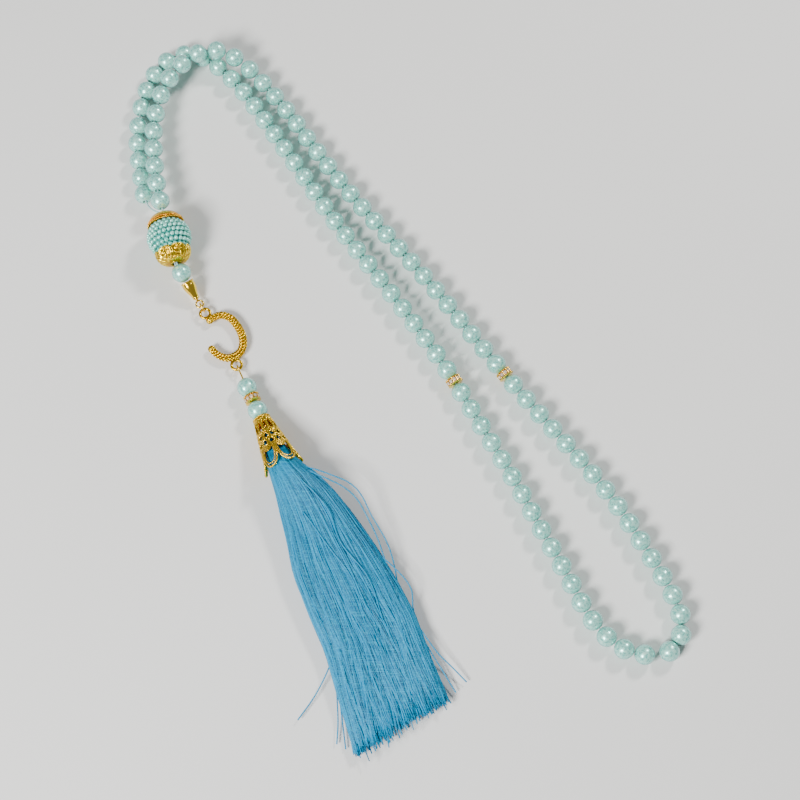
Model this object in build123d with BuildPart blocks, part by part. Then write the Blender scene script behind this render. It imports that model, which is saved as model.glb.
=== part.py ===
"""Misbaha: a loop of 101 threaded pearls with two rhinestone rondelles, a large leader bead (imame),
a gold scroll link and a silk tassel, laid flat. Millimetres, +Z up, +Y along the long side."""
from build123d import *
import math
import os

os.makedirs("parts", exist_ok=True)

# ---------------------------------------------------------------- driving dimensions
PEARL_R = 3.95                # a nominal 8 mm round pearl
PEARL_HOLE_R = 1.0
PITCH = 8.04                  # centre to centre along the thread
# the pearls near the leader bead sit looser on their thread
NECK_PITCH = {"right": 8.4, "left": 8.1}
CROSSING_PITCH = {"right": 8.24, "left": 8.32}
THREAD_R = 0.4
THREAD_END_GAP = 0.08         # half the break in the thread where two bodies meet
RONDELLE_R = 3.4
RONDELLE_T = 3.0
RONDELLE_HOLE_R = 0.62        # runs on the thread or the pin
RONDELLE_STEP = 2 * PEARL_R + RONDELLE_T + 0.2
NECK_BREAK = 0.7              # spare thread where the neck bends
NECK_END_GAP = 0.5            # half the break in the thread there, hidden in the last neck pearl
NECK_END_BACK = 1.8           # from halfway between the two pearls back to the middle of that break
FIRST = {"right": 5.4, "left": 15.5}   # thread before the first pearl of each strand

# the two strands, from the leader bead's mouth to the far end of the loop
RIGHT_ROUTE = [
    (-95.9, 68.5, 9.8), (-98.0, 74.6, 10.5), (-99.9, 84.0, 9.6), (-101.5, 95.5, 8.6),
    (-102.4, 107.5, 8.0), (-101.4, 119.0, 8.1), (-98.0, 129.5, 9.0), (-91.2, 138.0, 10.9),
    (-82.5, 143.4, 12.1), (-73.6, 144.2, 10.6), (-65.0, 140.0, 6.4), (-56.5, 131.6, 4.2),
    (-46.8, 119.6, 4.0), (-35.0, 102.0, 4.0), (-20.5, 81.6, 4.0), (-3.5, 61.0, 4.0),
    (13.8, 40.2, 4.0), (28.4, 20.6, 4.0), (43.6, 0.4, 4.0), (58.6, -18.2, 4.0),
    (73.0, -35.4, 4.0), (86.2, -52.4, 4.0), (96.8, -70.4, 4.0), (105.6, -86.4, 4.0),
    (110.4, -98.0, 4.0), (109.6, -107.6, 4.0), (103.4, -113.4, 4.0), (97.0, -114.6, 4.0),
]
LEFT_ROUTE = [
    (-96.7, 68.3, 9.1), (-101.2, 70.4, 7.0), (-104.6, 75.5, 4.7), (-106.4, 83.5, 4.0),
    (-108.4, 94.0, 4.0), (-109.9, 106.0, 4.0), (-109.2, 118.5, 4.0), (-106.8, 129.8, 4.0),
    (-102.8, 138.6, 4.0), (-96.8, 144.8, 4.0), (-89.2, 146.8, 4.0), (-81.4, 143.9, 4.0),
    (-73.0, 137.0, 4.0),
    (-63.5, 125.8, 4.0), (-51.0, 106.8, 4.0), (-38.2, 87.2, 4.0), (-24.8, 66.0, 4.0),
    (-10.0, 46.2, 4.0), (6.4, 23.6, 4.0), (21.3, 1.6, 4.0), (34.6, -22.4, 4.0),
    (46.5, -43.0, 4.0), (56.8, -63.6, 4.0), (66.5, -82.0, 4.0), (73.6, -97.0, 4.0),
    (81.5, -107.5, 4.0), (90.4, -112.8, 4.0), (100.4, -113.8, 4.0),
]
PEARLS_TO_RONDELLE = {"right": 34, "left": 33}
NECK_PEARLS = {"right": 6, "left": 5}
CROSSING_PEARLS = {"right": 16, "left": 15}
ARM_SPLITS = {"right": (22, 28, 34, 40, 46, 51), "left": (21, 27, 33, 39, 45, 50)}

# leader bead: a core wound with seed pearls between two filigree caps
IMAME_CENTRE = Vector(-93.1, 57.2, 9.45)
IMAME_HEADING = 106.0         # heading of its mouth, degrees from +X
CORE_R, CORE_HALF = 7.45, 6.9
BORE_R = 1.25
SEED_R, SEED_GAP = 0.95, 0.03
SEED_RINGS, FIRST_RING, RING_STEP = 7, -43.8, 14.6   # rings by latitude, degrees
TOP_MOUTH, BOTTOM_MOUTH = 11.2, -11.9                # the bead's two ends along its axis

# hanging parts, from the leader bead to the tassel
LINK_Z = 2.4
TIP_LOOP = Vector(-80.35, 30.75, LINK_Z)
TIP_LOOP_R, TIP_LOOP_WIRE_R = 1.5, 0.4
UPPER_EYELET = Vector(-77.9, 26.5, LINK_Z)
LOWER_EYELET = Vector(-64.3, 4.2, LINK_Z)
EYELET_R, EYELET_WIRE_R = 2.05, 0.65
JUMP_RING_R, JUMP_RING_Z, JUMP_RING_OFFSET = 1.95, 2.9, 2.2
WIRE_R = 0.35
LEADER_STEP = 4.5             # leader pearl's centre beyond the leader bead's lower mouth
LEADER_HOLE_R = 1.1           # passes both threads
THREAD_PAIR = 0.48            # each of the two threads from their common centre line
PIN_HEADING, PIN_RISE = -65.2, 7.5
PIN_EYE_R, PIN_EYE_Z = 1.5, 2.8
UPPER_PEARL, PENDANT_RONDELLE, LOWER_PEARL = 9.2, 14.8, 20.4   # places along the pin
CAP_START, CAP_LENGTH = 24.5, 24.0
CAP_TOP_R, CAP_MOUTH_R, CAP_WALL = 3.2, 8.2, 0.5
PIN_LOOP_AT, PIN_LOOP_R = 28.5, 1.0
PIN_HOLE_R = 0.42             # runs on the pin
HEAD_RECESS = 1.7             # the tassel's head ends this far inside the cap
TASSEL_HEADING = -66.9
# the skirt's cross sections: distance past the cap, sideways drift, half width, half height
SKIRT = (
    (0.3, 0.0, 6.0, 6.0), (10, 1.0, 9.5, 6.6), (25, 2.5, 12.5, 6.0),
    (45, 3.5, 15.5, 5.2), (70, 3.0, 17.5, 4.4), (95, 1.5, 18.5, 3.6), (111, 0.0, 18.5, 3.0),
)


def unit(heading, rise=0.0):
    """Direction with this heading and rise, in degrees."""
    h, e = math.radians(heading), math.radians(rise)
    return Vector(math.cos(h) * math.cos(e), math.sin(h) * math.cos(e), math.sin(e))


def corner_radii(points):
    """Largest arc each corner's two runs allow: 0.45 of the shorter run over tan(half the turn)."""
    places = [Vector(*p) for p in points]
    radii = []
    for before, here, after in zip(places, places[1:], places[2:]):
        run_in, run_out = here - before, after - here
        turn = math.radians(run_in.get_angle(run_out))
        radii.append(0.45 * min(run_in.length, run_out.length) / math.tan(turn / 2))
    return radii


def save(piece, name):
    piece.part.label = name
    export_step(piece.part, f"parts/{name}.step")


# ---------------------------------------------------------------- strands
def route_wire(points):
    with BuildLine() as route:
        FilletPolyline(*points, radius=corner_radii(points))
    return route.wires()[0]


ROUTES = {"right": route_wire(RIGHT_ROUTE), "left": route_wire(LEFT_ROUTE)}


def pearl_station(side, number):
    """Distance along the strand to the centre of this pearl, counted from the leader bead."""
    neck, crossing = NECK_PEARLS[side], CROSSING_PEARLS[side]
    distance = FIRST[side] + (min(number, neck) - 1) * NECK_PITCH[side]
    if number > neck:
        distance += NECK_BREAK + (min(number, crossing) - neck) * CROSSING_PITCH[side]
    if number > crossing:
        distance += (number - crossing) * PITCH
    if number > PEARLS_TO_RONDELLE[side]:
        distance += RONDELLE_STEP - PITCH
    return distance


def frame_on(side, distance):
    """Plane across the thread at this distance, its normal along the thread."""
    wire = ROUTES[side]
    return Plane(
        origin=wire.position_at(distance, PositionMode.LENGTH),
        z_dir=wire.tangent_at(distance, PositionMode.LENGTH),
    )


def pearls_at(places, hole_r=PEARL_HOLE_R):
    """A pearl at each plane, drilled along the plane's normal: a circle's arc turned about the hole."""
    reach = math.sqrt(PEARL_R**2 - hole_r**2)
    with BuildPart() as one:
        with BuildSketch(Plane.XZ):
            with BuildLine():
                outside = ThreePointArc((hole_r, -reach), (PEARL_R, 0), (hole_r, reach))
                Line(outside @ 1, outside @ 0)
            make_face()
        revolve(axis=Axis.Z)
    with BuildPart() as pearls:
        with Locations(*places):
            add(one.part)
    return pearls


def pearls_of(*runs):
    """Pearls of a strand; each run is (side, first number, last number)."""
    places = []
    for side, first, last in runs:
        places += [frame_on(side, pearl_station(side, n)) for n in range(first, last + 1)]
    return pearls_at(places)


def thread_of(side, start, end):
    """The stretch of thread between two distances along the strand."""
    wire = ROUTES[side]
    path = wire.trim(start / wire.length, end / wire.length)
    with BuildPart() as thread:
        with BuildSketch(Plane(origin=path @ 0, z_dir=path % 0)):
            Circle(THREAD_R)
        sweep(path=path)
    wanted = math.pi * THREAD_R**2 * (end - start)
    print(f"  {side} thread {start:.1f} to {end:.1f}: volume {thread.part.volume:.2f} of {wanted:.2f}")
    return thread


def far_mouth(side, number):
    """Distance to the far face of this pearl, where the next body's thread takes over."""
    return pearl_station(side, number) + PITCH / 2


for side, points in (("right", RIGHT_ROUTE), ("left", LEFT_ROUTE)):
    radii = ", ".join(f"{r:.0f}" for r in corner_radii(points))
    print(f"{side} route {ROUTES[side].length:.1f} mm, corner radii {radii}")

neck_end = {side: pearl_station(side, NECK_PEARLS[side]) + (PITCH + NECK_BREAK) / 2 for side in ROUTES}
for side in ROUTES:
    neck_break = neck_end[side] - NECK_END_BACK
    save(thread_of(side, 0.0, neck_break - NECK_END_GAP), f"neck_thread_{side}")
    crossing_end = far_mouth(side, CROSSING_PEARLS[side])
    save(
        thread_of(side, neck_break + NECK_END_GAP, crossing_end - THREAD_END_GAP),
        f"crossing_thread_{side}",
    )
save(pearls_of(*[(side, 1, NECK_PEARLS[side]) for side in ROUTES]), "neck_pearls")
save(
    pearls_of(*[(side, NECK_PEARLS[side] + 1, CROSSING_PEARLS[side]) for side in ROUTES]),
    "crossing_pearls",
)

pivots = {}
for side in ROUTES:
    last = CROSSING_PEARLS[side]
    for index, next_last in enumerate(ARM_SPLITS[side], start=1):
        pivots[f"{side}_{index}"] = frame_on(side, pearl_station(side, last)).origin
        save(pearls_of((side, last + 1, next_last)), f"{side}_pearls_{index}")
        start = far_mouth(side, last) + THREAD_END_GAP
        end = far_mouth(side, next_last) - THREAD_END_GAP
        save(thread_of(side, start, end), f"{side}_thread_{index}")
        last = next_last


# ---------------------------------------------------------------- rondelles
STONES = 10
STONE_R = 0.86
FLANGE_T = 0.5


def rondelle_metal(place):
    """Hub with two flanges that clamp the ring of stones, bored for the thread or pin."""
    with BuildPart(place) as metal:
        Cylinder(1.75, RONDELLE_T)
        for end in (-1, 1):
            with Locations((0, 0, end * (RONDELLE_T - FLANGE_T) / 2)):
                Cylinder(RONDELLE_R, FLANGE_T)
        Cylinder(RONDELLE_HOLE_R, RONDELLE_T + 1, mode=Mode.SUBTRACT)
    return metal


def rondelle_stones(place):
    """Round-cut stones, each a short cone standing on the hub with a bevelled table outwards."""
    with BuildPart(place) as stones:
        with BuildPart(mode=Mode.PRIVATE) as stone:
            with BuildSketch(Plane.XZ) as half:
                with BuildLine():
                    Polyline((0, 0), (0.3, 0), (STONE_R, 0.85), (0.5, 1.2), (0, 1.2), close=True)
                make_face()
            revolve(axis=Axis.Z)
        with PolarLocations(2.15, STONES):
            add(stone.part.rotate(Axis.Y, 90))
    return stones


def halfway(side):
    """Middle of the space left for the rondelle between two pearls."""
    before = PEARLS_TO_RONDELLE[side]
    return frame_on(side, (pearl_station(side, before) + pearl_station(side, before + 1)) / 2)


for side in ROUTES:
    save(rondelle_metal(halfway(side)), f"{side}_rondelle_metal")
    save(rondelle_stones(halfway(side)), f"{side}_rondelle_stones")


# ---------------------------------------------------------------- leader bead
AXIS = unit(IMAME_HEADING)


def section_through(origin, direction):
    """Plane for a profile to revolve: x is the radius, y runs along the direction."""
    radius = (Vector(0, 0, 1) - direction * direction.Z).normalized()
    return Plane(origin=origin, x_dir=radius, z_dir=radius.cross(direction))


imame_section = section_through(IMAME_CENTRE, AXIS)
imame_axis = Axis(IMAME_CENTRE, AXIS)

with BuildPart() as imame_core:
    with BuildSketch(imame_section):
        Ellipse(CORE_R, CORE_HALF)
        with Locations((BORE_R, 0)):
            Rectangle(2 * CORE_R, 3 * CORE_HALF, align=(Align.MAX, Align.CENTER), mode=Mode.SUBTRACT)
    revolve(axis=imame_axis)
save(imame_core, "imame_core")

with BuildPart() as seed_pearls:
    for ring in range(SEED_RINGS):
        latitude = math.radians(FIRST_RING + ring * RING_STEP)
        out = Vector(math.cos(latitude) / CORE_R, math.sin(latitude) / CORE_HALF, 0).normalized()
        stand_off = SEED_R + SEED_GAP
        ring_r = CORE_R * math.cos(latitude) + stand_off * out.X
        height = CORE_HALF * math.sin(latitude) + stand_off * out.Y
        count = int(math.pi / math.asin((SEED_R + SEED_GAP / 2) / ring_r))
        with BuildPart(Plane(origin=IMAME_CENTRE + AXIS * height, z_dir=AXIS), mode=Mode.PRIVATE) as row:
            with PolarLocations(ring_r, count, start_angle=180 / count * (ring % 2)):
                Sphere(SEED_R)
        add(row.part)
save(seed_pearls, "imame_seed_pearls")

# caps: the top one is a plain dome, the bottom one a deep scalloped cup
CAP_T = 0.45
with BuildPart() as top_cap:
    with BuildSketch(imame_section):
        with BuildLine():
            under = ThreePointArc((7.15, 6.1), (5.9, 8.7), (BORE_R, TOP_MOUTH - CAP_T))
            Line(under @ 1, (BORE_R, TOP_MOUTH))
            over = ThreePointArc((BORE_R, TOP_MOUTH), (6.25, 9.0), (7.6, 6.1))
            Line(over @ 1, under @ 0)
        make_face()
    revolve(axis=imame_axis)
save(top_cap, "imame_top_cap")

PETALS = 7
PETAL_EDGE = -6.15            # top of the petals along the axis
with BuildPart() as bottom_cap:
    with BuildSketch(imame_section):
        with BuildLine():
            inner = ThreePointArc((6.7, PETAL_EDGE), (5.7, -9.5), (2.0, BOTTOM_MOUTH + CAP_T))
            Line(inner @ 1, (BORE_R, BOTTOM_MOUTH + CAP_T))
            Line((BORE_R, BOTTOM_MOUTH + CAP_T), (BORE_R, BOTTOM_MOUTH))
            Line((BORE_R, BOTTOM_MOUTH), (2.0, BOTTOM_MOUTH))
            outer = ThreePointArc((2.0, BOTTOM_MOUTH), (6.1, -9.75), (7.15, PETAL_EDGE))
            Line(outer @ 1, inner @ 0)
        make_face()
    revolve(axis=imame_axis)
    edge = Plane(origin=IMAME_CENTRE + AXIS * (PETAL_EDGE + 0.5), z_dir=AXIS)
    with BuildPart(edge, mode=Mode.PRIVATE) as notches:
        with PolarLocations(7.0, PETALS):
            Cylinder(1.3, 3, rotation=(0, 90, 0))
    add(notches.part, mode=Mode.SUBTRACT)
save(bottom_cap, "imame_bottom_cap")

# ---------------------------------------------------------------- below the leader bead
lower_mouth = IMAME_CENTRE + AXIS * BOTTOM_MOUTH
HANG = (TIP_LOOP - lower_mouth).normalized()
LEADER_PEARL = lower_mouth + HANG * LEADER_STEP
PAIR_SIDE = AXIS.cross(HANG).normalized()

with BuildPart() as imame_thread:
    for sign in (-1, 1):
        shift = PAIR_SIDE * (sign * THREAD_PAIR)
        top = IMAME_CENTRE + AXIS * (TOP_MOUTH - 0.4) + shift
        bend = lower_mouth - AXIS * 0.4 + shift
        foot = LEADER_PEARL + HANG * (PEARL_R - 0.1) + shift
        with BuildLine() as pair_path:
            FilletPolyline(top, bend, foot, radius=3.0)
        with BuildSketch(Plane(origin=top, z_dir=bend - top)):
            Circle(THREAD_R)
        sweep(path=pair_path.line)
save(imame_thread, "imame_thread")

save(pearls_at([Plane(origin=LEADER_PEARL, z_dir=HANG)], LEADER_HOLE_R), "leader_pearl")

# bead tip: two cupped shells closed over the knot, with a ring at the foot
tip_section = section_through(LEADER_PEARL, HANG)
tip_axis = Axis(LEADER_PEARL, HANG)
TIP_T = 0.35
TIP_MOUTH, TIP_FOOT = 4.15, 11.9
foot_to_loop = (TIP_LOOP - LEADER_PEARL).length
with BuildPart() as bead_tip:
    with BuildSketch(tip_section):
        with BuildLine():
            Polyline((1.35, TIP_MOUTH), (2.5, TIP_MOUTH + 0.1))
            belly = ThreePointArc((2.5, TIP_MOUTH + 0.1), (2.75, 6.6), (1.2, TIP_FOOT))
            Line(belly @ 1, (0, TIP_FOOT))
            Line((0, TIP_FOOT), (0, TIP_FOOT - 1.2))
            cavity = ThreePointArc((0, TIP_FOOT - 1.2), (2.4, 6.6), (1.35, TIP_MOUTH + TIP_T))
            Line(cavity @ 1, (1.35, TIP_MOUTH))
        make_face()
    revolve(axis=tip_axis)
    shell_plane = Plane(origin=LEADER_PEARL + HANG * 7.0, x_dir=tip_section.x_dir, z_dir=HANG)
    with BuildPart(shell_plane, mode=Mode.PRIVATE) as parting:
        Box(6.5, 0.3, 6.4)
    add(parting.part, mode=Mode.SUBTRACT)
    with BuildSketch(Plane(origin=LEADER_PEARL + HANG * (TIP_FOOT - 0.6), z_dir=HANG)):
        Circle(0.55)
    extrude(amount=foot_to_loop - TIP_FOOT + 0.6 - TIP_LOOP_R)
    with Locations(Location(TIP_LOOP)):
        Torus(TIP_LOOP_R, TIP_LOOP_WIRE_R)
save(bead_tip, "bead_tip")

with BuildPart(Plane(origin=LEADER_PEARL, z_dir=HANG)) as knot:
    with Locations((0, 0, 7.2)):
        Sphere(1.3)
    with Locations((0, 0, 4.3)):
        Cylinder(0.85, 2.6, align=(Align.CENTER, Align.CENTER, Align.MIN))
save(knot, "thread_knot")

ring_way = (UPPER_EYELET - TIP_LOOP).normalized()
ring_centre = TIP_LOOP + ring_way * JUMP_RING_OFFSET + Vector(0, 0, JUMP_RING_Z - LINK_Z)
with BuildPart(Plane(origin=ring_centre, z_dir=ring_way.cross(Vector(0, 0, 1)))) as jump_ring:
    Torus(JUMP_RING_R, WIRE_R)
save(jump_ring, "jump_ring")

# scroll link: one flat C-shaped scroll with round ends and an eyelet at each side
SCROLL_W, SCROLL_T = 2.6, 1.8
with BuildPart() as scroll_link:
    with BuildSketch(Plane.XY.offset(LINK_Z - SCROLL_T / 2)):
        with BuildLine() as stroke:
            crown = ThreePointArc((-75.9, 23.5), (-71.0, 25.7), (-65.6, 22.6))
            flank = TangentArc(crown @ 1, (-61.9, 14.4), tangent=crown % 1)
            heel = TangentArc(flank @ 1, (-67.6, 7.3), tangent=flank % 1)
            TangentArc(heel @ 1, (-74.6, 11.0), tangent=heel % 1)
        trace(line_width=SCROLL_W)
        with Locations((-75.9, 23.5), (-74.6, 11.0)):
            Circle(1.6)
        with Locations((-64.5, 6.9)):
            Circle(1.2)
    extrude(amount=SCROLL_T)
    with Locations(Location(UPPER_EYELET), Location(LOWER_EYELET)):
        Torus(EYELET_R, EYELET_WIRE_R)
save(scroll_link, "scroll_link")

# ---------------------------------------------------------------- pin and what is threaded on it
PIN_WAY = unit(PIN_HEADING, PIN_RISE)
eye_centre = LOWER_EYELET + unit(PIN_HEADING) * EYELET_R + Vector(0, 0, PIN_EYE_Z - LINK_Z)
pin_side = unit(PIN_HEADING).cross(Vector(0, 0, 1))


def on_pin(distance):
    """Plane across the pin at this distance from the centre of its eye."""
    return Plane(origin=eye_centre + PIN_WAY * distance, x_dir=pin_side, z_dir=PIN_WAY)


with BuildPart() as eye_pin:
    with BuildPart(Plane(origin=eye_centre, z_dir=pin_side), mode=Mode.PRIVATE) as eye:
        Torus(PIN_EYE_R, WIRE_R)
    add(eye.part)
    with BuildSketch(on_pin(PIN_EYE_R)):
        Circle(WIRE_R)
    extrude(amount=PIN_LOOP_AT - PIN_LOOP_R - PIN_EYE_R)
    loop_centre = eye_centre + PIN_WAY * PIN_LOOP_AT
    with BuildPart(Plane(origin=loop_centre, z_dir=pin_side), mode=Mode.PRIVATE) as loop:
        Torus(PIN_LOOP_R, 0.3)
    add(loop.part)
save(eye_pin, "eye_pin")

for name, distance in (("pendant_pearl_upper", UPPER_PEARL), ("pendant_pearl_lower", LOWER_PEARL)):
    save(pearls_at([on_pin(distance)], PIN_HOLE_R), name)
save(rondelle_metal(on_pin(PENDANT_RONDELLE)), "pendant_rondelle_metal")
save(rondelle_stones(on_pin(PENDANT_RONDELLE)), "pendant_rondelle_stones")

# tassel cap: a pierced cone with arched lower edge
ARCHES = 7
pin_section = Plane(origin=eye_centre, x_dir=pin_side, z_dir=pin_side.cross(PIN_WAY))
pin_axis = Axis(eye_centre, PIN_WAY)
CAP_END = CAP_START + CAP_LENGTH
with BuildPart() as tassel_cap:
    with BuildSketch(pin_section):
        with BuildLine():
            Polyline(
                (PIN_HOLE_R, CAP_START), (CAP_TOP_R, CAP_START), (CAP_MOUTH_R, CAP_END),
                (CAP_MOUTH_R - CAP_WALL, CAP_END), (CAP_TOP_R - CAP_WALL, CAP_START + CAP_WALL),
                (PIN_HOLE_R, CAP_START + CAP_WALL), close=True,
            )
        make_face()
    revolve(axis=pin_axis)
    for distance, half_width, half_length, half_step in (
        (5.0, 0.65, 2.4, 0), (10.5, 0.9, 0.9, 1), (16.5, 1.9, 2.9, 0), (CAP_LENGTH + 0.6, 1.5, 2.6, 1),
    ):
        with BuildPart(on_pin(CAP_START + distance), mode=Mode.PRIVATE) as windows:
            with PolarLocations(0, ARCHES, start_angle=half_step * 180 / ARCHES):
                with BuildSketch(Plane.YZ):
                    Ellipse(half_width, half_length)
                extrude(amount=CAP_MOUTH_R + 2)
        add(windows.part, mode=Mode.SUBTRACT)
save(tassel_cap, "tassel_cap")

# ---------------------------------------------------------------- tassel
TASSEL_LOOP_R = 1.5
HEAD_START = PIN_LOOP_AT + 0.15 + 2 * TASSEL_LOOP_R + WIRE_R
BINDING_AT, BINDING_R = HEAD_START + 1.2, 3.3
with BuildPart(
    Plane(origin=on_pin(PIN_LOOP_AT + 0.1 + TASSEL_LOOP_R).origin, z_dir=pin_side.cross(PIN_WAY))
) as tassel_loop:
    Torus(TASSEL_LOOP_R, WIRE_R)
save(tassel_loop, "tassel_loop")

with BuildPart() as tassel_head:
    with BuildSketch(pin_section):
        with BuildLine():
            Polyline(
                (0, HEAD_START), (2.4, HEAD_START), (3.0, HEAD_START + 2.6), (3.4, HEAD_START + 4),
                (6.2, CAP_END - HEAD_RECESS), (0, CAP_END - HEAD_RECESS), close=True,
            )
        make_face()
    revolve(axis=pin_axis)
save(tassel_head, "tassel_head")

with BuildPart(on_pin(BINDING_AT)) as binding:
    Torus(BINDING_R, 0.5)
save(binding, "tassel_binding")

mouth = eye_centre + PIN_WAY * CAP_END
skirt_way = unit(TASSEL_HEADING)
skirt_side = Vector(-skirt_way.Y, skirt_way.X, 0)
with BuildPart() as tassel_skirt:
    for distance, drift, half_width, half_height in SKIRT:
        spot = mouth + skirt_way * distance + skirt_side * drift
        lift = max(mouth.Z - distance * 0.2, half_height + 0.2)
        plane = Plane(origin=(spot.X, spot.Y, lift), x_dir=skirt_side, z_dir=skirt_way)
        with BuildSketch(plane):
            Ellipse(half_width, half_height)
    loft()
save(tassel_skirt, "tassel_skirt")

for name, place in pivots.items():
    print("pivot", name, tuple(round(c, 3) for c in place))
print("neck bend", {side: tuple(round(c, 3) for c in frame_on(side, neck_end[side]).origin) for side in ROUTES})
print("leader pearl", tuple(LEADER_PEARL), "hang", tuple(HANG))
print("ring", tuple(ring_centre), "eye", tuple(eye_centre), "pin", tuple(PIN_WAY), "mouth", tuple(mouth))
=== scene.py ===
import math

import bmesh
import bpy
import numpy as np
from mathutils import Matrix


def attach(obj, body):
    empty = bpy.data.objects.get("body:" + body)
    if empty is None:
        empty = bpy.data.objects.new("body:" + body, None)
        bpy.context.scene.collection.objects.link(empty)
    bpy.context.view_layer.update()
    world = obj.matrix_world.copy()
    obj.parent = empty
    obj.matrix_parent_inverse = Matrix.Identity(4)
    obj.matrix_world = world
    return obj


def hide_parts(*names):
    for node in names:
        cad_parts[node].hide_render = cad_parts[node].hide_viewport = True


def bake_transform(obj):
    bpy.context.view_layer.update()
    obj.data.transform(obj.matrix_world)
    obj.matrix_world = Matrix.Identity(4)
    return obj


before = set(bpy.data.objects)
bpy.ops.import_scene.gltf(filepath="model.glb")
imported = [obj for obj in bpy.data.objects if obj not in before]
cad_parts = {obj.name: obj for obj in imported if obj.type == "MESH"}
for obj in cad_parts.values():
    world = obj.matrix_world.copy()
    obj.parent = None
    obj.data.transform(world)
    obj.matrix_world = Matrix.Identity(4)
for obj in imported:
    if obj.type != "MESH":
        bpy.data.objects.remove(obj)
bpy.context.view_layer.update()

MM = 0.001
UP = np.array([0.0, 0.0, 1.0])
rng = np.random.default_rng(7)


def heading(degrees, rise=0.0):
    """Direction with this heading and rise, in degrees."""
    h, e = np.radians(degrees), np.radians(rise)
    return np.array([np.cos(h) * np.cos(e), np.sin(h) * np.cos(e), np.sin(e)])


def unit(v):
    """The same direction at length 1."""
    v = np.asarray(v, float)
    return v / np.maximum(np.linalg.norm(v, axis=-1, keepdims=True), 1e-12)


def angles(count, offset=0.0):
    """Evenly spaced angles once round a circle, the first one offset by this share of a step."""
    return (np.arange(count) + offset) * 2 * np.pi / count


def polar(radius, angle, height):
    """Points about Z: radius times cos and sin of the angle, at this height."""
    return np.stack(np.broadcast_arrays(radius * np.cos(angle), radius * np.sin(angle), height), -1)


def bell(x, width):
    """A smooth bump, 1 at 0: e to the minus square of x over width."""
    return np.exp(-((x / width) ** 2))


# ---------------------------------------------------------------- camera
camera_data = bpy.data.cameras.new("camera")
camera_data.lens = 67.5
camera_data.sensor_width = 36.0
camera = bpy.data.objects.new("camera", camera_data)
camera.location = (0.002, -0.1953, 0.5775)
camera.rotation_euler = (math.radians(17.79), 0.0, 0.0)
bpy.context.scene.collection.objects.link(camera)
bpy.context.scene.camera = camera

# ---------------------------------------------------------------- the part's own dimensions
PEARL_R, PEARL_HOLE_R, PITCH = 3.95, 1.0, 8.04
NECK_PITCH = {"right": 8.4, "left": 8.1}
CROSSING_PITCH = {"right": 8.24, "left": 8.32}
THREAD_R, THREAD_END_GAP = 0.4, 0.08
RONDELLE_R, RONDELLE_T = 3.4, 3.0
RONDELLE_STEP = 2 * PEARL_R + RONDELLE_T + 0.2
NECK_BREAK = 0.7
NECK_END_GAP, NECK_END_BACK = 0.5, 1.8
FIRST = {"right": 5.4, "left": 15.5}
PEARLS_TO_RONDELLE = {"right": 34, "left": 33}
NECK_PEARLS = {"right": 6, "left": 5}
CROSSING_PEARLS = {"right": 16, "left": 15}
ARM_SPLITS = {"right": (22, 28, 34, 40, 46, 51), "left": (21, 27, 33, 39, 45, 50)}
ROUTE_LENGTH = {"right": 423.2, "left": 421.5}

# ---------------------------------------------------------------- the two threads (metres)
ROUTES = {
    "right": [
        (-0.0959, 0.0685, 0.0098), (-0.0980, 0.0746, 0.0105), (-0.0999, 0.0840, 0.0096),
        (-0.1015, 0.0955, 0.0086), (-0.1024, 0.1075, 0.0080), (-0.1014, 0.1190, 0.0081),
        (-0.0980, 0.1295, 0.0090), (-0.0912, 0.1380, 0.0109), (-0.0825, 0.1434, 0.0121),
        (-0.0736, 0.1442, 0.0106), (-0.0650, 0.1400, 0.0064), (-0.0565, 0.1316, 0.0042),
        (-0.0468, 0.1196, 0.0040), (-0.0350, 0.1020, 0.0040), (-0.0205, 0.0816, 0.0040),
        (-0.0035, 0.0610, 0.0040), (0.0138, 0.0402, 0.0040), (0.0284, 0.0206, 0.0040),
        (0.0436, 0.0004, 0.0040), (0.0586, -0.0182, 0.0040), (0.0730, -0.0354, 0.0040),
        (0.0862, -0.0524, 0.0040), (0.0968, -0.0704, 0.0040), (0.1056, -0.0864, 0.0040),
        (0.1104, -0.0980, 0.0040), (0.1096, -0.1076, 0.0040), (0.1034, -0.1134, 0.0040),
        (0.0970, -0.1146, 0.0040),
    ],
    "left": [
        (-0.0967, 0.0683, 0.0091), (-0.1012, 0.0704, 0.0070), (-0.1046, 0.0755, 0.0047),
        (-0.1064, 0.0835, 0.0040), (-0.1084, 0.0940, 0.0040), (-0.1099, 0.1060, 0.0040),
        (-0.1092, 0.1185, 0.0040), (-0.1068, 0.1298, 0.0040), (-0.1028, 0.1386, 0.0040),
        (-0.0968, 0.1448, 0.0040), (-0.0892, 0.1468, 0.0040), (-0.0814, 0.1439, 0.0040),
        (-0.0730, 0.1370, 0.0040), (-0.0635, 0.1258, 0.0040), (-0.0510, 0.1068, 0.0040),
        (-0.0382, 0.0872, 0.0040), (-0.0248, 0.0660, 0.0040), (-0.0100, 0.0462, 0.0040),
        (0.0064, 0.0236, 0.0040), (0.0213, 0.0016, 0.0040), (0.0346, -0.0224, 0.0040),
        (0.0465, -0.0430, 0.0040), (0.0568, -0.0636, 0.0040), (0.0665, -0.0820, 0.0040),
        (0.0736, -0.0970, 0.0040), (0.0815, -0.1075, 0.0040), (0.0904, -0.1128, 0.0040),
        (0.1004, -0.1138, 0.0040),
    ],
}


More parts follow.
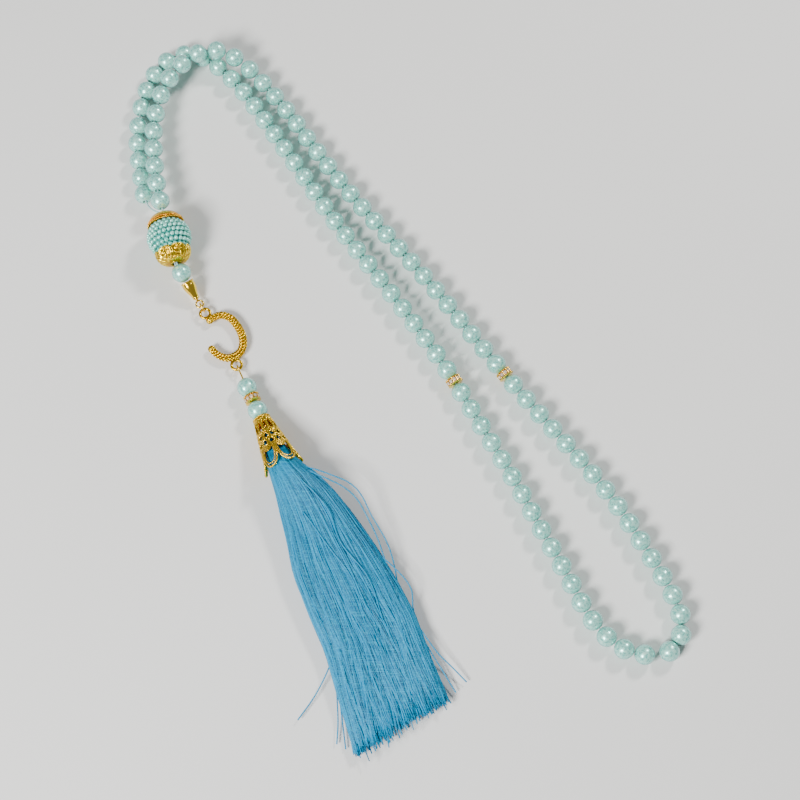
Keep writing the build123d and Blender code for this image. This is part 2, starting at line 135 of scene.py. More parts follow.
class Line:
    """A thread's smooth line: the route's points are the control points of one open NURBS spline."""

    def __init__(self, name, points):
        curve = bpy.data.curves.new(name, "CURVE")
        curve.dimensions = "3D"
        spline = curve.splines.new("NURBS")
        spline.points.add(len(points) - 1)
        spline.points.foreach_set("co", [c for p in points for c in (*p, 1.0)])
        spline.order_u = 3
        spline.use_endpoint_u = True
        spline.resolution_u = 24
        holder = bpy.data.objects.new(name, curve)
        bpy.context.scene.collection.objects.link(holder)
        bpy.context.view_layer.update()
        line = bpy.data.meshes.new_from_object(holder)
        co = np.empty(len(line.vertices) * 3)
        line.vertices.foreach_get("co", co)
        self.points = co.reshape(-1, 3) / MM
        bpy.data.objects.remove(holder)
        steps = np.linalg.norm(np.diff(self.points, axis=0), axis=1)
        self.distance = np.concatenate([[0.0], np.cumsum(steps)])
        self.length = self.distance[-1]

    def at(self, share):
        """Points at these shares of the whole length."""
        wanted = np.asarray(share) * self.length
        return np.stack([np.interp(wanted, self.distance, self.points[:, k]) for k in range(3)], -1)

    def along(self, share):
        """Directions at these shares of the whole length."""
        share = np.asarray(share)
        return unit(self.at(share + 0.002) - self.at(share - 0.002))


LINES = {side: Line(f"{side}_line", points) for side, points in ROUTES.items()}


def pearl_station(side, number):
    """Share of the strand up to the centre of this pearl, counted from the leader bead."""
    neck, crossing = NECK_PEARLS[side], CROSSING_PEARLS[side]
    distance = FIRST[side] + (min(number, neck) - 1) * NECK_PITCH[side]
    if number > neck:
        distance += NECK_BREAK + (min(number, crossing) - neck) * CROSSING_PITCH[side]
    if number > crossing:
        distance += (number - crossing) * PITCH
    if number > PEARLS_TO_RONDELLE[side]:
        distance += RONDELLE_STEP - PITCH
    return distance / ROUTE_LENGTH[side]


# ---------------------------------------------------------------- finishes
class Signal:
    """A node's output, so that shader maths reads as Python: each operator adds a Math node."""

    def __init__(self, finish, socket):
        self.finish, self.socket = finish, socket

    def _maths(self, operation, first, second):
        return self.finish.make("ShaderNodeMath", {"operation": operation}, {0: first, 1: second})

    def __add__(self, other):
        return self._maths("ADD", self, other)

    def __mul__(self, other):
        return self._maths("MULTIPLY", self, other)

    def __pow__(self, other):
        return self._maths("POWER", self, other)

    __radd__ = __add__
    __rmul__ = __mul__


class Finish:
    """A material with one Principled shader. fixed are its sockets that are the same all over."""

    def __init__(self, name, **fixed):
        self.material = bpy.data.materials.new(name)
        self.material.use_nodes = True
        self.tree = self.material.node_tree
        self.shader = self.tree.nodes["Principled BSDF"]
        for socket, value in fixed.items():
            self.shader.inputs[socket.replace("_", " ")].default_value = value

    def make(self, kind, settings=None, inputs=None, out=0):
        """A node of this kind: its settings first, then the values or links of its sockets."""
        node = self.tree.nodes.new(kind)
        for key, value in (settings or {}).items():
            setattr(node, key, value)
        for key, value in (inputs or {}).items():
            if isinstance(value, Signal):
                self.tree.links.new(value.socket, node.inputs[key])
            else:
                node.inputs[key].default_value = value
        return Signal(self, node.outputs[out])

    def drive(self, socket, signal):
        """Links a signal to one of the shader's sockets."""
        self.tree.links.new(signal.socket, self.shader.inputs[socket])

    def place(self, turn=0.0, stretch=(1.0, 1.0, 1.0)):
        """Object coordinates turned about Z and stretched."""
        spot = self.make("ShaderNodeTexCoord", out="Object")
        mapping = {"Vector": spot, "Rotation": (0.0, 0.0, turn), "Scale": stretch}
        return self.make("ShaderNodeMapping", {}, mapping)

    def noise(self, scale, detail=3.0, rough=0.5, place=None):
        """Cloudy noise, 0 to 1; scale is in waves to the metre."""
        inputs = {"Vector": place or self.place(), "Scale": scale, "Detail": detail, "Roughness": rough}
        return self.make("ShaderNodeTexNoise", {}, inputs, out="Fac")

    def attribute(self, name):
        """A number kept on each point of the mesh."""
        return self.make("ShaderNodeAttribute", {"attribute_name": name}, out="Fac")

    def edge_on(self, blend):
        """1 where the surface is seen edge on, 0 where it faces the eye."""
        return self.make("ShaderNodeLayerWeight", {}, {"Blend": blend}, out="Facing")

    def spread(self, value, low, high):
        """value stretched so that low gives 0 and high gives 1, held at both ends."""
        return self.make("ShaderNodeMapRange", {}, {"Value": value, "From Min": low, "From Max": high})

    def blend(self, share, first, second):
        """Colour between two, by share."""
        inputs = {"Factor": share, 6: first, 7: second}
        return self.make("ShaderNodeMix", {"data_type": "RGBA"}, inputs, out=2)

    def relief(self, height, strength, distance):
        """Raises the surface by this height."""
        inputs = {"Height": height, "Strength": strength, "Distance": distance}
        self.drive("Normal", self.make("ShaderNodeBump", {}, inputs))


def colour(r, g, b):
    """An opaque colour."""
    return (r, g, b, 1.0)


def pearl_lacquer(name, body, edge, pale):
    """Nacreous lacquer: pale mottled face, a painted sheen of deeper colour edge on, a soft gloss under
    a thin hard coat.
    """
    f = Finish(name, Coat_IOR=1.6, Coat_Roughness=0.06, IOR=1.6, Metallic=0.35, Coat_Weight=0.9)
    mottle = f.spread(f.noise(1100.0, 4.0, 0.6), 0.38, 0.62)
    face = f.blend(mottle, body, pale)
    # painted sheen: Layer Weight turns the colour towards the darker edge colour where the pearl is
    # seen edge on
    f.drive("Base Color", f.blend(f.edge_on(0.5) ** 2.2, face, edge))
    f.drive("Roughness", 0.26 + mottle * 0.12)
    f.relief(f.noise(2200.0, 3.0), 0.22, 0.00008)
    return f.material


def gold(name, bright, deep, rough, grain, wear=0.25):
    """Gold plate: painted shade deepens it in hollows, grooves and on inner faces; a little uneven in
    colour and polish.
    """
    f = Finish(name, Metallic=1.0)
    patch = f.spread(f.noise(grain, 4.0, 0.6), 0.3, 0.7)
    # painted shade: the point's shade share, plus random patches, turns the colour from bright to deep
    shade = f.spread(f.attribute("painted_shade_and_tone") + patch * wear, 0.05, 1.0)
    f.drive("Base Color", f.blend(shade, bright, deep))
    f.drive("Roughness", rough + patch * 0.10 + f.attribute("painted_shade_and_tone") * 0.12)
    f.relief(f.noise(grain * 3.0, 3.0), 0.3, 0.00010)
    return f.material


def silk(name, base, light, shade_and_tone_colour, turn):
    """Viscose silk: painted shade, each strand its own tone, fine lengthways fibres as painted sheen
    streaks and a satin gloss.
    """
    f = Finish(name, IOR=1.5, Anisotropic=0.5, Specular_IOR_Level=0.22)
    fibre = f.noise(1.0, 3.0, 0.6, f.place(turn, (120.0, 5200.0, 5200.0)))
    # painted shade and tone: darkens grooves and the inner mass as painted shade, and each strand by
    # its own random tone
    tone = f.attribute("painted_shade_and_tone")
    body = f.blend(tone, base, shade_and_tone_colour)
    # painted sheen: lighter streaks along the fibres
    f.drive("Base Color", f.blend(f.spread(fibre, 0.46, 0.70) * 0.5, body, light))
    f.drive("Roughness", 0.30 + fibre * 0.22)
    f.relief(fibre, 0.35, 0.00012)
    return f.material


def twisted(name, base, light):
    """Twisted nylon thread."""
    f = Finish(name, Roughness=0.42, Sheen_Weight=0.2)
    fuzz = f.noise(2400.0, 3.0)
    f.drive("Base Color", f.blend(f.spread(fuzz, 0.35, 0.7), base, light))
    f.relief(fuzz, 0.3, 0.0001)
    return f.material


def crystal(name):
    """Cut crystal: clear, with a faint warm tint, a painted reflection of the gold round it."""
    f = Finish(name, Roughness=0.03, IOR=1.62, Metallic=0.35, Coat_Weight=1.0)
    speck = f.spread(f.noise(1400.0, 2.0), 0.35, 0.65)
    # painted reflection: the base colour is tinted warm brown for the gold reflected in the stones
    f.drive("Base Color", f.blend(speck, colour(0.95, 0.86, 0.80), colour(0.62, 0.48, 0.36)))
    return f.material


def matt(name, base, light):
    """Plain dyed surface, faintly mottled."""
    f = Finish(name, Roughness=0.7)
    f.drive("Base Color", f.blend(f.noise(700.0, 3.0), base, light))
    f.relief(f.noise(1500.0), 0.2, 0.0001)
    return f.material


TASSEL_HEADING = -66.9
FINISHES = {
    # pearls: body colour, painted sheen colour seen edge on, pale mottle colour
    "pearl": pearl_lacquer("pearl_lacquer", colour(0.19, 0.62, 0.55), colour(0.0, 0.27, 0.31),
                           colour(0.50, 0.92, 0.79)),
    "seed_pearl": pearl_lacquer("seed_lacquer", colour(0.12, 0.66, 0.56), colour(0.0, 0.32, 0.32),
                                colour(0.48, 0.95, 0.82)),
    "thread": twisted("nylon_thread", colour(0.32, 0.55, 0.56), colour(0.55, 0.75, 0.76)),
    "core": matt("dyed_core", colour(0.03, 0.36, 0.33), colour(0.06, 0.44, 0.40)),
    # golds: bright colour, then deep colour for painted shade in hollows, grooves and inner faces and
    # for random patches; on the antique gold the deep hollows are partly its antique finish
    "antique_gold": gold("antique_gold", colour(1.0, 0.50, 0.03), colour(0.42, 0.14, 0.0),
                         0.20, 500.0),
    "bright_gold": gold("bright_gold", colour(1.0, 0.74, 0.05), colour(0.46, 0.22, 0.0),
                        0.16, 600.0),
    "filigree_gold": gold("filigree_gold", colour(1.0, 0.68, 0.05), colour(0.48, 0.22, 0.0),
                          0.17, 600.0),
    "polished_gold": gold("polished_gold", colour(1.0, 0.66, 0.07), colour(0.52, 0.24, 0.0),
                          0.11, 300.0),
    "pebbled_gold": gold("pebbled_gold", colour(1.0, 0.72, 0.03), colour(0.42, 0.18, 0.0),
                         0.15, 500.0),
    "rondelle_metal": gold("rondelle_gold", colour(1.0, 0.64, 0.10), colour(0.50, 0.22, 0.0),
                           0.13, 500.0),
    "rhinestone": crystal("rhinestone"),
    # silks: base colour, painted sheen colour of the fibre streaks, colour of painted shade and darker
    # strands
    "silk": silk("silk_threads", colour(0.0, 0.25, 0.50), colour(0.0, 0.66, 0.92),
                 colour(0.0, 0.03, 0.10), math.radians(-TASSEL_HEADING)),
    "silk_cord": silk("silk_cord", colour(0.0, 0.22, 0.46), colour(0.0, 0.56, 0.82),
                      colour(0.0, 0.03, 0.10), math.radians(-TASSEL_HEADING)),
}


# ---------------------------------------------------------------- surfaces
def sheet_faces(rows, columns, wrap_rows=False):
    """Quads of a grid of points numbered row by row, each row a closed ring; the last row is joined to
    the first one if asked."""
    i = np.arange(rows if wrap_rows else rows - 1)[:, None]
    j = np.arange(columns)[None, :]
    below, beside = (i + 1) % rows, (j + 1) % columns
    corners = (i * columns + j, i * columns + beside, below * columns + beside, below * columns + j)
    return np.stack(np.broadcast_arrays(*corners), -1).reshape(-1, 4)


def shape(points, faces, painted_shade_and_tone=0.0):
    """One part of a piece: its points, its quads and, 0 to 1 for each point, its share of painted shade
    and tone.
    """
    points = np.asarray(points, float).reshape(-1, 3)
    return points, faces, np.broadcast_to(np.asarray(painted_shade_and_tone, float).reshape(-1), len(points))


def together(*shapes):
    """Several parts as one."""
    points, faces, painted_shade_and_tone, count = [], [], [], 0
    for p, f, h in shapes:
        points.append(p)
        faces.append(f + count)
        painted_shade_and_tone.append(h)
        count += len(p)
    return np.concatenate(points), np.concatenate(faces), np.concatenate(painted_shade_and_tone)


def frames(directions, lean=UP):
    """Axes whose third runs along each direction and whose first leans as far as it can to lean."""
    z = unit(directions)
    x = unit(lean - np.sum(z * lean, -1, keepdims=True) * z)
    return np.stack([x, np.cross(z, x), z], -1)


def copies(single, axes, centres):
    """The same part at each place: its points turned by each place's axes and moved to its centre."""
    points, faces, painted_shade_and_tone = single
    centres = np.atleast_2d(centres)
    axes = np.broadcast_to(axes, (len(centres), 3, 3))
    placed = np.einsum("kij,nj->kni", axes, points) + centres[:, None]
    every = faces[None] + (np.arange(len(centres)) * len(points))[:, None, None]
    return placed.reshape(-1, 3), every.reshape(-1, 4), np.tile(painted_shade_and_tone, len(centres))


def moved(single, place):
    """The same part moved without being turned."""
    return copies(single, np.eye(3), place)


def turned(profile, around, closed=True, swell=None, painted_shade_and_tone=0.0):
    """Profile (radius, height) turned about Z. swell(angle, row) is added to the radius."""
    profile = np.asarray(profile, float)
    angle = angles(around)
    radius = np.repeat(profile[:, :1], around, 1)
    if swell is not None:
        radius = radius + swell(angle[None, :], np.arange(len(profile))[:, None])
    points = polar(radius, angle, profile[:, 1:])
    tone = np.broadcast_to(np.asarray(painted_shade_and_tone, float), radius.shape)
    return shape(points, sheet_faces(len(profile), around, wrap_rows=closed), tone)


def ring(radius, wire, around, sides, ripple=0.0, waves=0, squash=1.0):
    """Round wire bent into a ring about Z: the ring's radius plus the wire's times cos outwards, the
    wire's times sin upwards; the wire's radius ripples in waves round the ring."""
    a, b = angles(around)[:, None], angles(sides)[None, :]
    thick = wire * (1 + ripple * np.cos(waves * a))
    points = polar(radius + thick * np.cos(b), a, thick * np.sin(b) * squash)
    # painted shade: the colour darkens where a rippled wire is thinnest, between its beads
    tone = (1 - np.cos(waves * a)) / 2 * (ripple > 0) + 0 * b
    return shape(points, sheet_faces(around, sides, wrap_rows=True), tone)


def across_and_above(paths, lean=UP):
    """Directions square to each path: across it, and above it towards lean."""
    tangent = unit(np.gradient(paths, axis=-2))
    across = unit(np.cross(tangent, np.broadcast_to(lean, paths.shape)))
    return across, np.cross(across, tangent)


def distance_gone(path):
    """How far along the path each of its points is."""
    return np.cumsum(np.linalg.norm(np.gradient(path, axis=0), axis=1))


def skinned(path, points, tone):
    """Rings of points round a path, joined in order and closed at both ends by a point on the path."""
    sides = points.shape[1]
    first, last = (np.repeat(path[k][None, None], sides, 1) for k in (0, -1))
    tone = np.concatenate([tone[:1], tone, tone[-1:]])
    return shape(np.concatenate([first, points, last]), sheet_faces(len(path) + 2, sides), tone)


def wires(paths, radius, sides, lean=UP, flat=1.0, painted_shade_and_tone=0.0):
    """Round wires along paths (any number of them at once), closed at both ends by a point on the path.
    A point is the path plus the wire's radius times cos across and sin up."""
    paths = np.asarray(paths, float)
    paths = paths[None] if paths.ndim == 2 else paths
    count, steps = paths.shape[:2]
    across, above = across_and_above(paths, lean)
    angle = angles(sides)
    reach = np.broadcast_to(radius, (count, steps))[..., None]
    tone = np.broadcast_to(painted_shade_and_tone, (count, steps))
    points = (
        paths[:, :, None]
        + (reach * np.cos(angle))[..., None] * across[:, :, None]
        + (reach * np.sin(angle) * flat)[..., None] * above[:, :, None]
    )
    ends = [np.repeat(paths[:, k][:, None, None], sides, 2) for k in (0, -1)]
    points = np.concatenate([ends[0], points, ends[1]], 1)
    tone = np.concatenate([tone[:, :1], tone, tone[:, -1:]], 1)
    rows = steps + 2
    faces = sheet_faces(rows, sides)
    every = faces[None] + (np.arange(count) * rows * sides)[:, None, None]
    return shape(points, every.reshape(-1, 4), np.repeat(tone.reshape(-1), sides))


def round_bead(radius, around, rows, flat=1.0):
    """A small closed bead: circles of latitude from pole to pole."""
    latitude = np.linspace(-np.pi / 2, np.pi / 2, rows + 1)
    profile = np.stack([radius * np.cos(latitude), radius * np.sin(latitude) * flat], -1)
    return turned(profile, around, closed=False)


def piece(name, body, slot, made, nodes=(), sharp=None):
    """Makes the mesh in metres, closes its poles and seams, turns its faces outwards and puts it on its
    body."""
    points, faces, painted_shade_and_tone = made
    name = name.replace("_", "-")
    mesh = bpy.data.meshes.new(name)
    mesh.vertices.add(len(points))
    mesh.vertices.foreach_set("co", (points * MM).astype(np.float32).ravel())
    mesh.loops.add(faces.size)
    mesh.loops.foreach_set("vertex_index", faces.astype(np.int32).ravel())
    mesh.polygons.add(len(faces))
    mesh.polygons.foreach_set("loop_start", np.arange(0, faces.size, 4, dtype=np.int32))
    mesh.update(calc_edges=True)
    # painted shade and tone: each point's share, read by the gold and silk finishes to darken its
    # colour
    depth = mesh.attributes.new("painted_shade_and_tone", "FLOAT", "POINT")
    depth.data.foreach_set("value", painted_shade_and_tone.astype(np.float32))
    work = bmesh.new()
    work.from_mesh(mesh)
    bmesh.ops.remove_doubles(work, verts=work.verts, dist=1e-8)
    bmesh.ops.dissolve_degenerate(work, edges=work.edges, dist=1e-9)
    bmesh.ops.recalc_face_normals(work, faces=work.faces)
    work.to_mesh(mesh)
    work.free()
    mesh.shade_smooth()
    if sharp:
        mesh.set_sharp_from_angle(angle=math.radians(sharp))
    mesh.materials.append(FINISHES[slot])
    made_piece = bpy.data.objects.new(name, mesh)
    bpy.context.scene.collection.objects.link(made_piece)
    if body:
        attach(made_piece, body)
    if nodes:
        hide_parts(*nodes)
    return made_piece


# ---------------------------------------------------------------- threads
TWIST_PITCH, PLIES = 2.2, 3


def thread_surface(path):
    """Three-ply thread: the radius ripples three times round, and the ripple turns as it goes along."""
    across, above = across_and_above(path)
    angle = angles(12)[None, :]
    ply = np.cos(PLIES * (angle - 2 * np.pi * distance_gone(path)[:, None] / TWIST_PITCH / PLIES))
    reach = THREAD_R * (0.93 + 0.09 * ply)
    points = path[:, None] + (reach * np.cos(angle))[..., None] * across[:, None]
    points = points + (reach * np.sin(angle))[..., None] * above[:, None]
    return skinned(path, points, ply * -0.5 + 0.5)


def thread(side, name, body, start, end):
    """A stretch of the strand's thread between two shares of its length."""
    length = (end - start) * ROUTE_LENGTH[side]
    path = LINES[side].at(np.linspace(start, end, max(int(length / 0.45), 12)))
    made = piece(name, body, "thread", thread_surface(path), [name])
    length * MM


# ---------------------------------------------------------------- pearls
def pearl(hole_r, around=44, rows=26):
    """A drilled pearl about Z: a circle's arc from hole to hole, rolled into the bore, and the bore's
    wall."""
    lip, roll_out, roll_down = 0.16, 0.04, 0.1
    edge = math.asin((hole_r + lip) / PEARL_R)
    tilt = np.linspace(edge, np.pi - edge, rows)
    outside = np.stack([PEARL_R * np.sin(tilt), PEARL_R * np.cos(tilt)], -1)
    deep = PEARL_R * math.cos(edge) - lip
    bore = [(hole_r + roll_out, -deep - roll_down), (hole_r, -deep),
            (hole_r, deep), (hole_r + roll_out, deep + roll_down)]
    return turned(np.concatenate([outside, bore]), around)


STRAND_PEARL = pearl(PEARL_HOLE_R)


def strand_pearls(*runs):
    """Pearls threaded on the lines; runs are (side, first, last)."""
    parts = []
    for side, first, last in runs:
        shares = np.array([pearl_station(side, n) for n in range(first, last + 1)])
        parts.append(copies(STRAND_PEARL, frames(LINES[side].along(shares)), LINES[side].at(shares)))
    return together(*parts)


half_pitch = {side: PITCH / 2 / length for side, length in ROUTE_LENGTH.items()}
gap = {side: THREAD_END_GAP / length for side, length in ROUTE_LENGTH.items()}
for side in ROUTES:
    neck_end = pearl_station(side, NECK_PEARLS[side]) + half_pitch[side] * (1 + NECK_BREAK / PITCH)
    crossing_end = pearl_station(side, CROSSING_PEARLS[side]) + half_pitch[side]
    neck_break = neck_end - NECK_END_BACK / ROUTE_LENGTH[side]
    neck_gap = NECK_END_GAP / ROUTE_LENGTH[side]
    thread(side, f"neck_thread_{side}", "neck", 0.0, neck_break - neck_gap)
    thread(side, f"crossing_thread_{side}", "crossing", neck_break + neck_gap, crossing_end - gap[side])
neck_runs = [(side, 1, NECK_PEARLS[side]) for side in ROUTES]
crossing_runs = [(side, NECK_PEARLS[side] + 1, CROSSING_PEARLS[side]) for side in ROUTES]
piece("neck_pearls", "neck", "pearl", strand_pearls(*neck_runs), ["neck_pearls"])
piece("crossing_pearls", "crossing", "pearl", strand_pearls(*crossing_runs), ["crossing_pearls"])
for side in ROUTES:
    last = CROSSING_PEARLS[side]
    for index, next_last in enumerate(ARM_SPLITS[side], start=1):
        node, body = f"{side}_pearls_{index}", f"{side}_{index}"
        piece(node, body, "pearl", strand_pearls((side, last + 1, next_last)), [node])
        start = pearl_station(side, last) + half_pitch[side] + gap[side]
        end = pearl_station(side, next_last) + half_pitch[side] - gap[side]
        thread(side, f"{side}_thread_{index}", body, start, end)
        last = next_last

# ---------------------------------------------------------------- rondelles
STONES, HUB_R, RIM_SWELL = 10, 1.75, 0.13


def rondelle_metal():
    """Two scalloped flanges on a hub, their edges swelling out by a cosine over each stone, and a prong
    at each dip."""
    half = RONDELLE_T / 2
    rim = RONDELLE_R - 0.12
    profile = [
        (0.64, -half), (1.2, -half), (rim - 0.25, -half), (rim, -half + 0.2), (rim - 0.2, -half + 0.45),
        (2.0, -half + 0.55), (HUB_R, -half + 0.8), (HUB_R, half - 0.8), (2.0, half - 0.55),
        (rim - 0.2, half - 0.45), (rim, half - 0.2), (rim - 0.25, half), (1.2, half), (0.64, half),
    ]
    on_rim = np.array([0, 0, 0.7, 1, 0.8, 0, 0, 0, 0, 0.8, 1, 0.7, 0, 0])
    body = turned(profile, 120, swell=lambda a, row: on_rim[row] * RIM_SWELL * np.cos(STONES * a))
    turns = angles(STONES, 0.5)
    feet = np.stack([np.cos(turns), np.sin(turns)], -1) * (RONDELLE_R - 0.45)
    steps = np.linspace(-half + 0.2, half - 0.2, 7)
    prongs = np.stack([np.concatenate([feet, np.full((STONES, 1), z)], -1) for z in steps], 1)
    outwards = np.concatenate([feet, np.zeros((STONES, 1))], -1)[:, None]
    return together(body, wires(prongs, 0.24, 8, lean=outwards, painted_shade_and_tone=0.2))


def rondelle_stones():
    """Brilliant-cut chatons: eight-sided pavilion, girdle, crown and a flat table facing out."""
    cut = [(0.0, 1.80), (0.45, 1.95), (0.88, 2.55), (0.88, 2.68), (0.52, 3.12), (0.0, 3.16)]
    single = turned(cut, 8, closed=False)
    out = polar(1.0, angles(STONES), 0.0)
    return copies(single, frames(out), 0 * out)


RONDELLE_METAL, RONDELLE_STONES = rondelle_metal(), rondelle_stones()


def rondelle(name, body, direction, centre):
    """A rondelle's metal and its stones, its hole along this direction."""
    axes = frames(direction)
    for part, slot, made, sharp in (("metal", "rondelle_metal", RONDELLE_METAL, 50),
                                    ("stones", "rhinestone", RONDELLE_STONES, 12)):
        node = f"{name}_{part}"
        piece(node, body, slot, copies(made, axes, centre), [node], sharp)


for side in ROUTES:
    before = PEARLS_TO_RONDELLE[side]
    middle = (pearl_station(side, before) + pearl_station(side, before + 1)) / 2
    rondelle(f"{side}_rondelle", f"{side}_rondelle", LINES[side].along(middle), LINES[side].at(middle))

# ---------------------------------------------------------------- leader bead
IMAME_CENTRE = np.array([-93.1, 57.2, 9.45])
IMAME_AXIS = heading(106.0)
CORE_R, CORE_HALF, BORE_R = 7.45, 6.9, 1.25
SEED_R, SEED_GAP, SEED_SHIFT = 0.95, 0.03, 0.035
SEED_RINGS, FIRST_RING, RING_STEP = 7, -43.8, 14.6
TOP_MOUTH, BOTTOM_MOUTH = 11.2, -11.9
imame_axes = frames(IMAME_AXIS)


def on_imame(made):
    """A part made about Z, put on the leader bead's axis."""
    return copies(made, imame_axes, IMAME_CENTRE)


def seed_places():
    """Centres of the seed pearls, ring by ring, each a little off its place."""
    places = []
    for row in range(SEED_RINGS):
        latitude = math.radians(FIRST_RING + row * RING_STEP)
        out = unit(np.array([math.cos(latitude) / CORE_R, math.sin(latitude) / CORE_HALF]))
        radius = CORE_R * math.cos(latitude) + (SEED_R + SEED_GAP) * out[0]
        height = CORE_HALF * math.sin(latitude) + (SEED_R + SEED_GAP) * out[1]
        count = int(math.pi / math.asin((SEED_R + SEED_GAP / 2) / radius))
        places.append(polar(radius, angles(count, 0.5 * (row % 2)), height))
    places = np.concatenate(places)
    return places + rng.normal(0, SEED_SHIFT, places.shape)


seeds = seed_places()
seed_axes = frames(unit(seeds + rng.normal(0, 2.0, seeds.shape)))
piece("imame_seed_pearls", "leader_bead", "seed_pearl",
      on_imame(copies(round_bead(SEED_R, 12, 8, 0.96), seed_axes, seeds)), ["imame_seed_pearls"])


def closed_wall(outer, inner):
    """A wall's profile: down its outer face and back up its inner face."""
    return np.concatenate([outer, inner[::-1]])


def arc_through(a, b, c, count):
    """Points on the circle through three points, from the first to the last."""
    (ax, ay), (bx, by), (cx, cy) = a, b, c
    d = 2 * (ax * (by - cy) + bx * (cy - ay) + cx * (ay - by))
    sa, sb, sc = ax * ax + ay * ay, bx * bx + by * by, cx * cx + cy * cy
    ux = (sa * (by - cy) + sb * (cy - ay) + sc * (ay - by)) / d
    uy = (sa * (cx - bx) + sb * (ax - cx) + sc * (bx - ax)) / d
    start, middle, end = (math.atan2(y - uy, x - ux) for x, y in (a, b, c))
    middle = start + (middle - start + np.pi) % (2 * np.pi) - np.pi
    end = middle + (end - middle + np.pi) % (2 * np.pi) - np.pi
    t = np.linspace(start, end, count)
    r = math.hypot(ax - ux, ay - uy)
    return np.stack([ux + r * np.cos(t), uy + r * np.sin(t)], -1)


def beads_round(radius, height, bead_r):
    """A ring of touching beads about Z."""
    count = int(math.pi / math.asin(min(bead_r / radius, 1.0)))
    out = polar(1.0, angles(count), 0.0)
    return copies(round_bead(bead_r, 8, 6), frames(out), out * radius + UP * height)


def top_cap():
    """Domed cap: an arc turned about the axis, chased with fine rays, beaded wire round its rim."""
    rows, around, rays_round = 40, 288, 36
    outer = arc_through((7.52, 6.15), (6.2, 8.95), (BORE_R, TOP_MOUTH - 0.02), rows)
    inner = arc_through((7.15, 6.15), (5.9, 8.7), (BORE_R, TOP_MOUTH - 0.45), rows)
    share = np.concatenate([np.linspace(0, 1, rows), np.ones(rows)])

    def chase(angle, row):
        t = share[row]
        rays = np.cos(rays_round * angle) * np.sin(np.pi * np.clip((t - 0.22) / 0.4, 0, 1)) ** 2
        bands = bell(t - 0.16, 0.02) + bell(t - 0.66, 0.02)
        return (0.07 * rays - 0.10 * bands) * (row < rows)

    # painted shade in the chased grooves and bands, partly the darkened antique finish
    tone = np.clip(-6 * chase(angles(around)[None], np.arange(2 * rows)[:, None]), 0, 1)
    wall = turned(closed_wall(outer, inner), around, swell=chase, painted_shade_and_tone=tone)
    mouth = moved(ring(BORE_R + 0.35, 0.3, 40, 10), UP * (TOP_MOUTH - 0.2))
    return together(wall, beads_round(7.42, 6.3, 0.30), beads_round(7.20, 7.35, 0.22), mouth)


piece("imame_top_cap", "leader_bead", "antique_gold", on_imame(top_cap()), ["imame_top_cap"])

PETALS, PETAL_EDGE, PETAL_DIP = 7, -6.15, 1.9
BLOSSOM_HEIGHT, BLOSSOM_R, CUP_WALL = -8.75, 2.55, 0.42


def cup_radius(s):
    """Radius of the bottom cap's face at this height: a circle's arc through rim, side and mouth."""
    line = arc_through((7.12, PETAL_EDGE), (6.1, -9.75), (2.0, BOTTOM_MOUTH), 200)
    return np.interp(-s, -line[:, 1], line[:, 0])


def petal_top(angle):
    """Height of the scalloped edge: round petals with narrow dips between them."""
    across = np.abs((angle * PETALS / (2 * np.pi)) % 1.0 - 0.5) * 2
    return PETAL_EDGE - PETAL_DIP * across**5 - 0.15


def bottom_cap():
    """Scalloped cup: each petal carries a round blossom of swirling wire, raised from the cup's wall.
    The blossom is a cosine of angle plus distance from its middle, inside a ring; scrolls fill the
    cup's foot."""
    around, rows = PETALS * 56, 64
    angle = angles(around)[None, :]
    t = np.linspace(0, 1, rows)[:, None]
    s = petal_top(angle) * (1 - t) + BOTTOM_MOUTH * t
    radius = cup_radius(s)
    side = ((angle * PETALS / (2 * np.pi)) % 1.0 - 0.5) * (2 * np.pi / PETALS) * radius
    rise = s - BLOSSOM_HEIGHT
    out = np.hypot(side, rise * 1.05)
    turn = np.arctan2(rise, side)
    swirl = np.cos(5 * turn + 3.4 * out) * bell(out - 1.5, 0.75)
    eye = bell(out, 0.42) * 1.2
    rim_ring = bell(out - BLOSSOM_R, 0.22)
    scroll_x, scroll_y = np.abs(side) - 1.6, s + 11.0
    scrolls = np.cos(4 * np.arctan2(scroll_y, scroll_x) + 5 * np.hypot(scroll_y, scroll_x))
    low = 1 / (1 + np.exp((rise + 1.9) / 0.15))
    lift = 0.34 * np.maximum(swirl, -0.35) * (1 - low) + 0.34 * eye
    lift = lift + 0.30 * rim_ring + 0.22 * low * scrolls
    # painted shade: the colour darkens where the wall is not raised, between the wires
    tone = np.clip(0.55 - 1.9 * lift, 0, 1)
    inner = np.maximum(radius - CUP_WALL, BORE_R)
    points = polar(closed_wall(radius + lift, inner), angle, closed_wall(s, s))
    # painted shade: the inner wall takes the full shade
    tones = np.concatenate([tone, np.ones_like(tone)])
    wall = shape(points, sheet_faces(2 * rows, around, wrap_rows=True), tones)
    edge = np.linspace(0, 2 * np.pi, PETALS * 90 + 1)
    height = petal_top(edge) + 0.05
    path = polar(cup_radius(height) + 0.05, edge, height)
    thick = 0.26 + 0.07 * np.cos(edge * PETALS * 15)
    wire = wires(path, thick, 8, lean=unit(path * [1, 1, 0]), painted_shade_and_tone=0.15)
    mouth = moved(ring(1.9, 0.36, 48, 10, 0.18, 24), UP * (BOTTOM_MOUTH + 0.15))
    return together(wall, wire, mouth)


piece("imame_bottom_cap", "leader_bead", "bright_gold", on_imame(bottom_cap()), ["imame_bottom_cap"])

# ---------------------------------------------------------------- leader pearl, threads and bead tip
LINK_Z, PAIR_HOLE_R = 2.4, 1.1
TIP_LOOP = np.array([-80.35, 30.75, LINK_Z])
lower_mouth = IMAME_CENTRE + IMAME_AXIS * BOTTOM_MOUTH
HANG = unit(TIP_LOOP - lower_mouth)
LEADER_PEARL = lower_mouth + HANG * 4.5
pair_side = unit(np.cross(IMAME_AXIS, HANG))
hang_axes = frames(HANG)


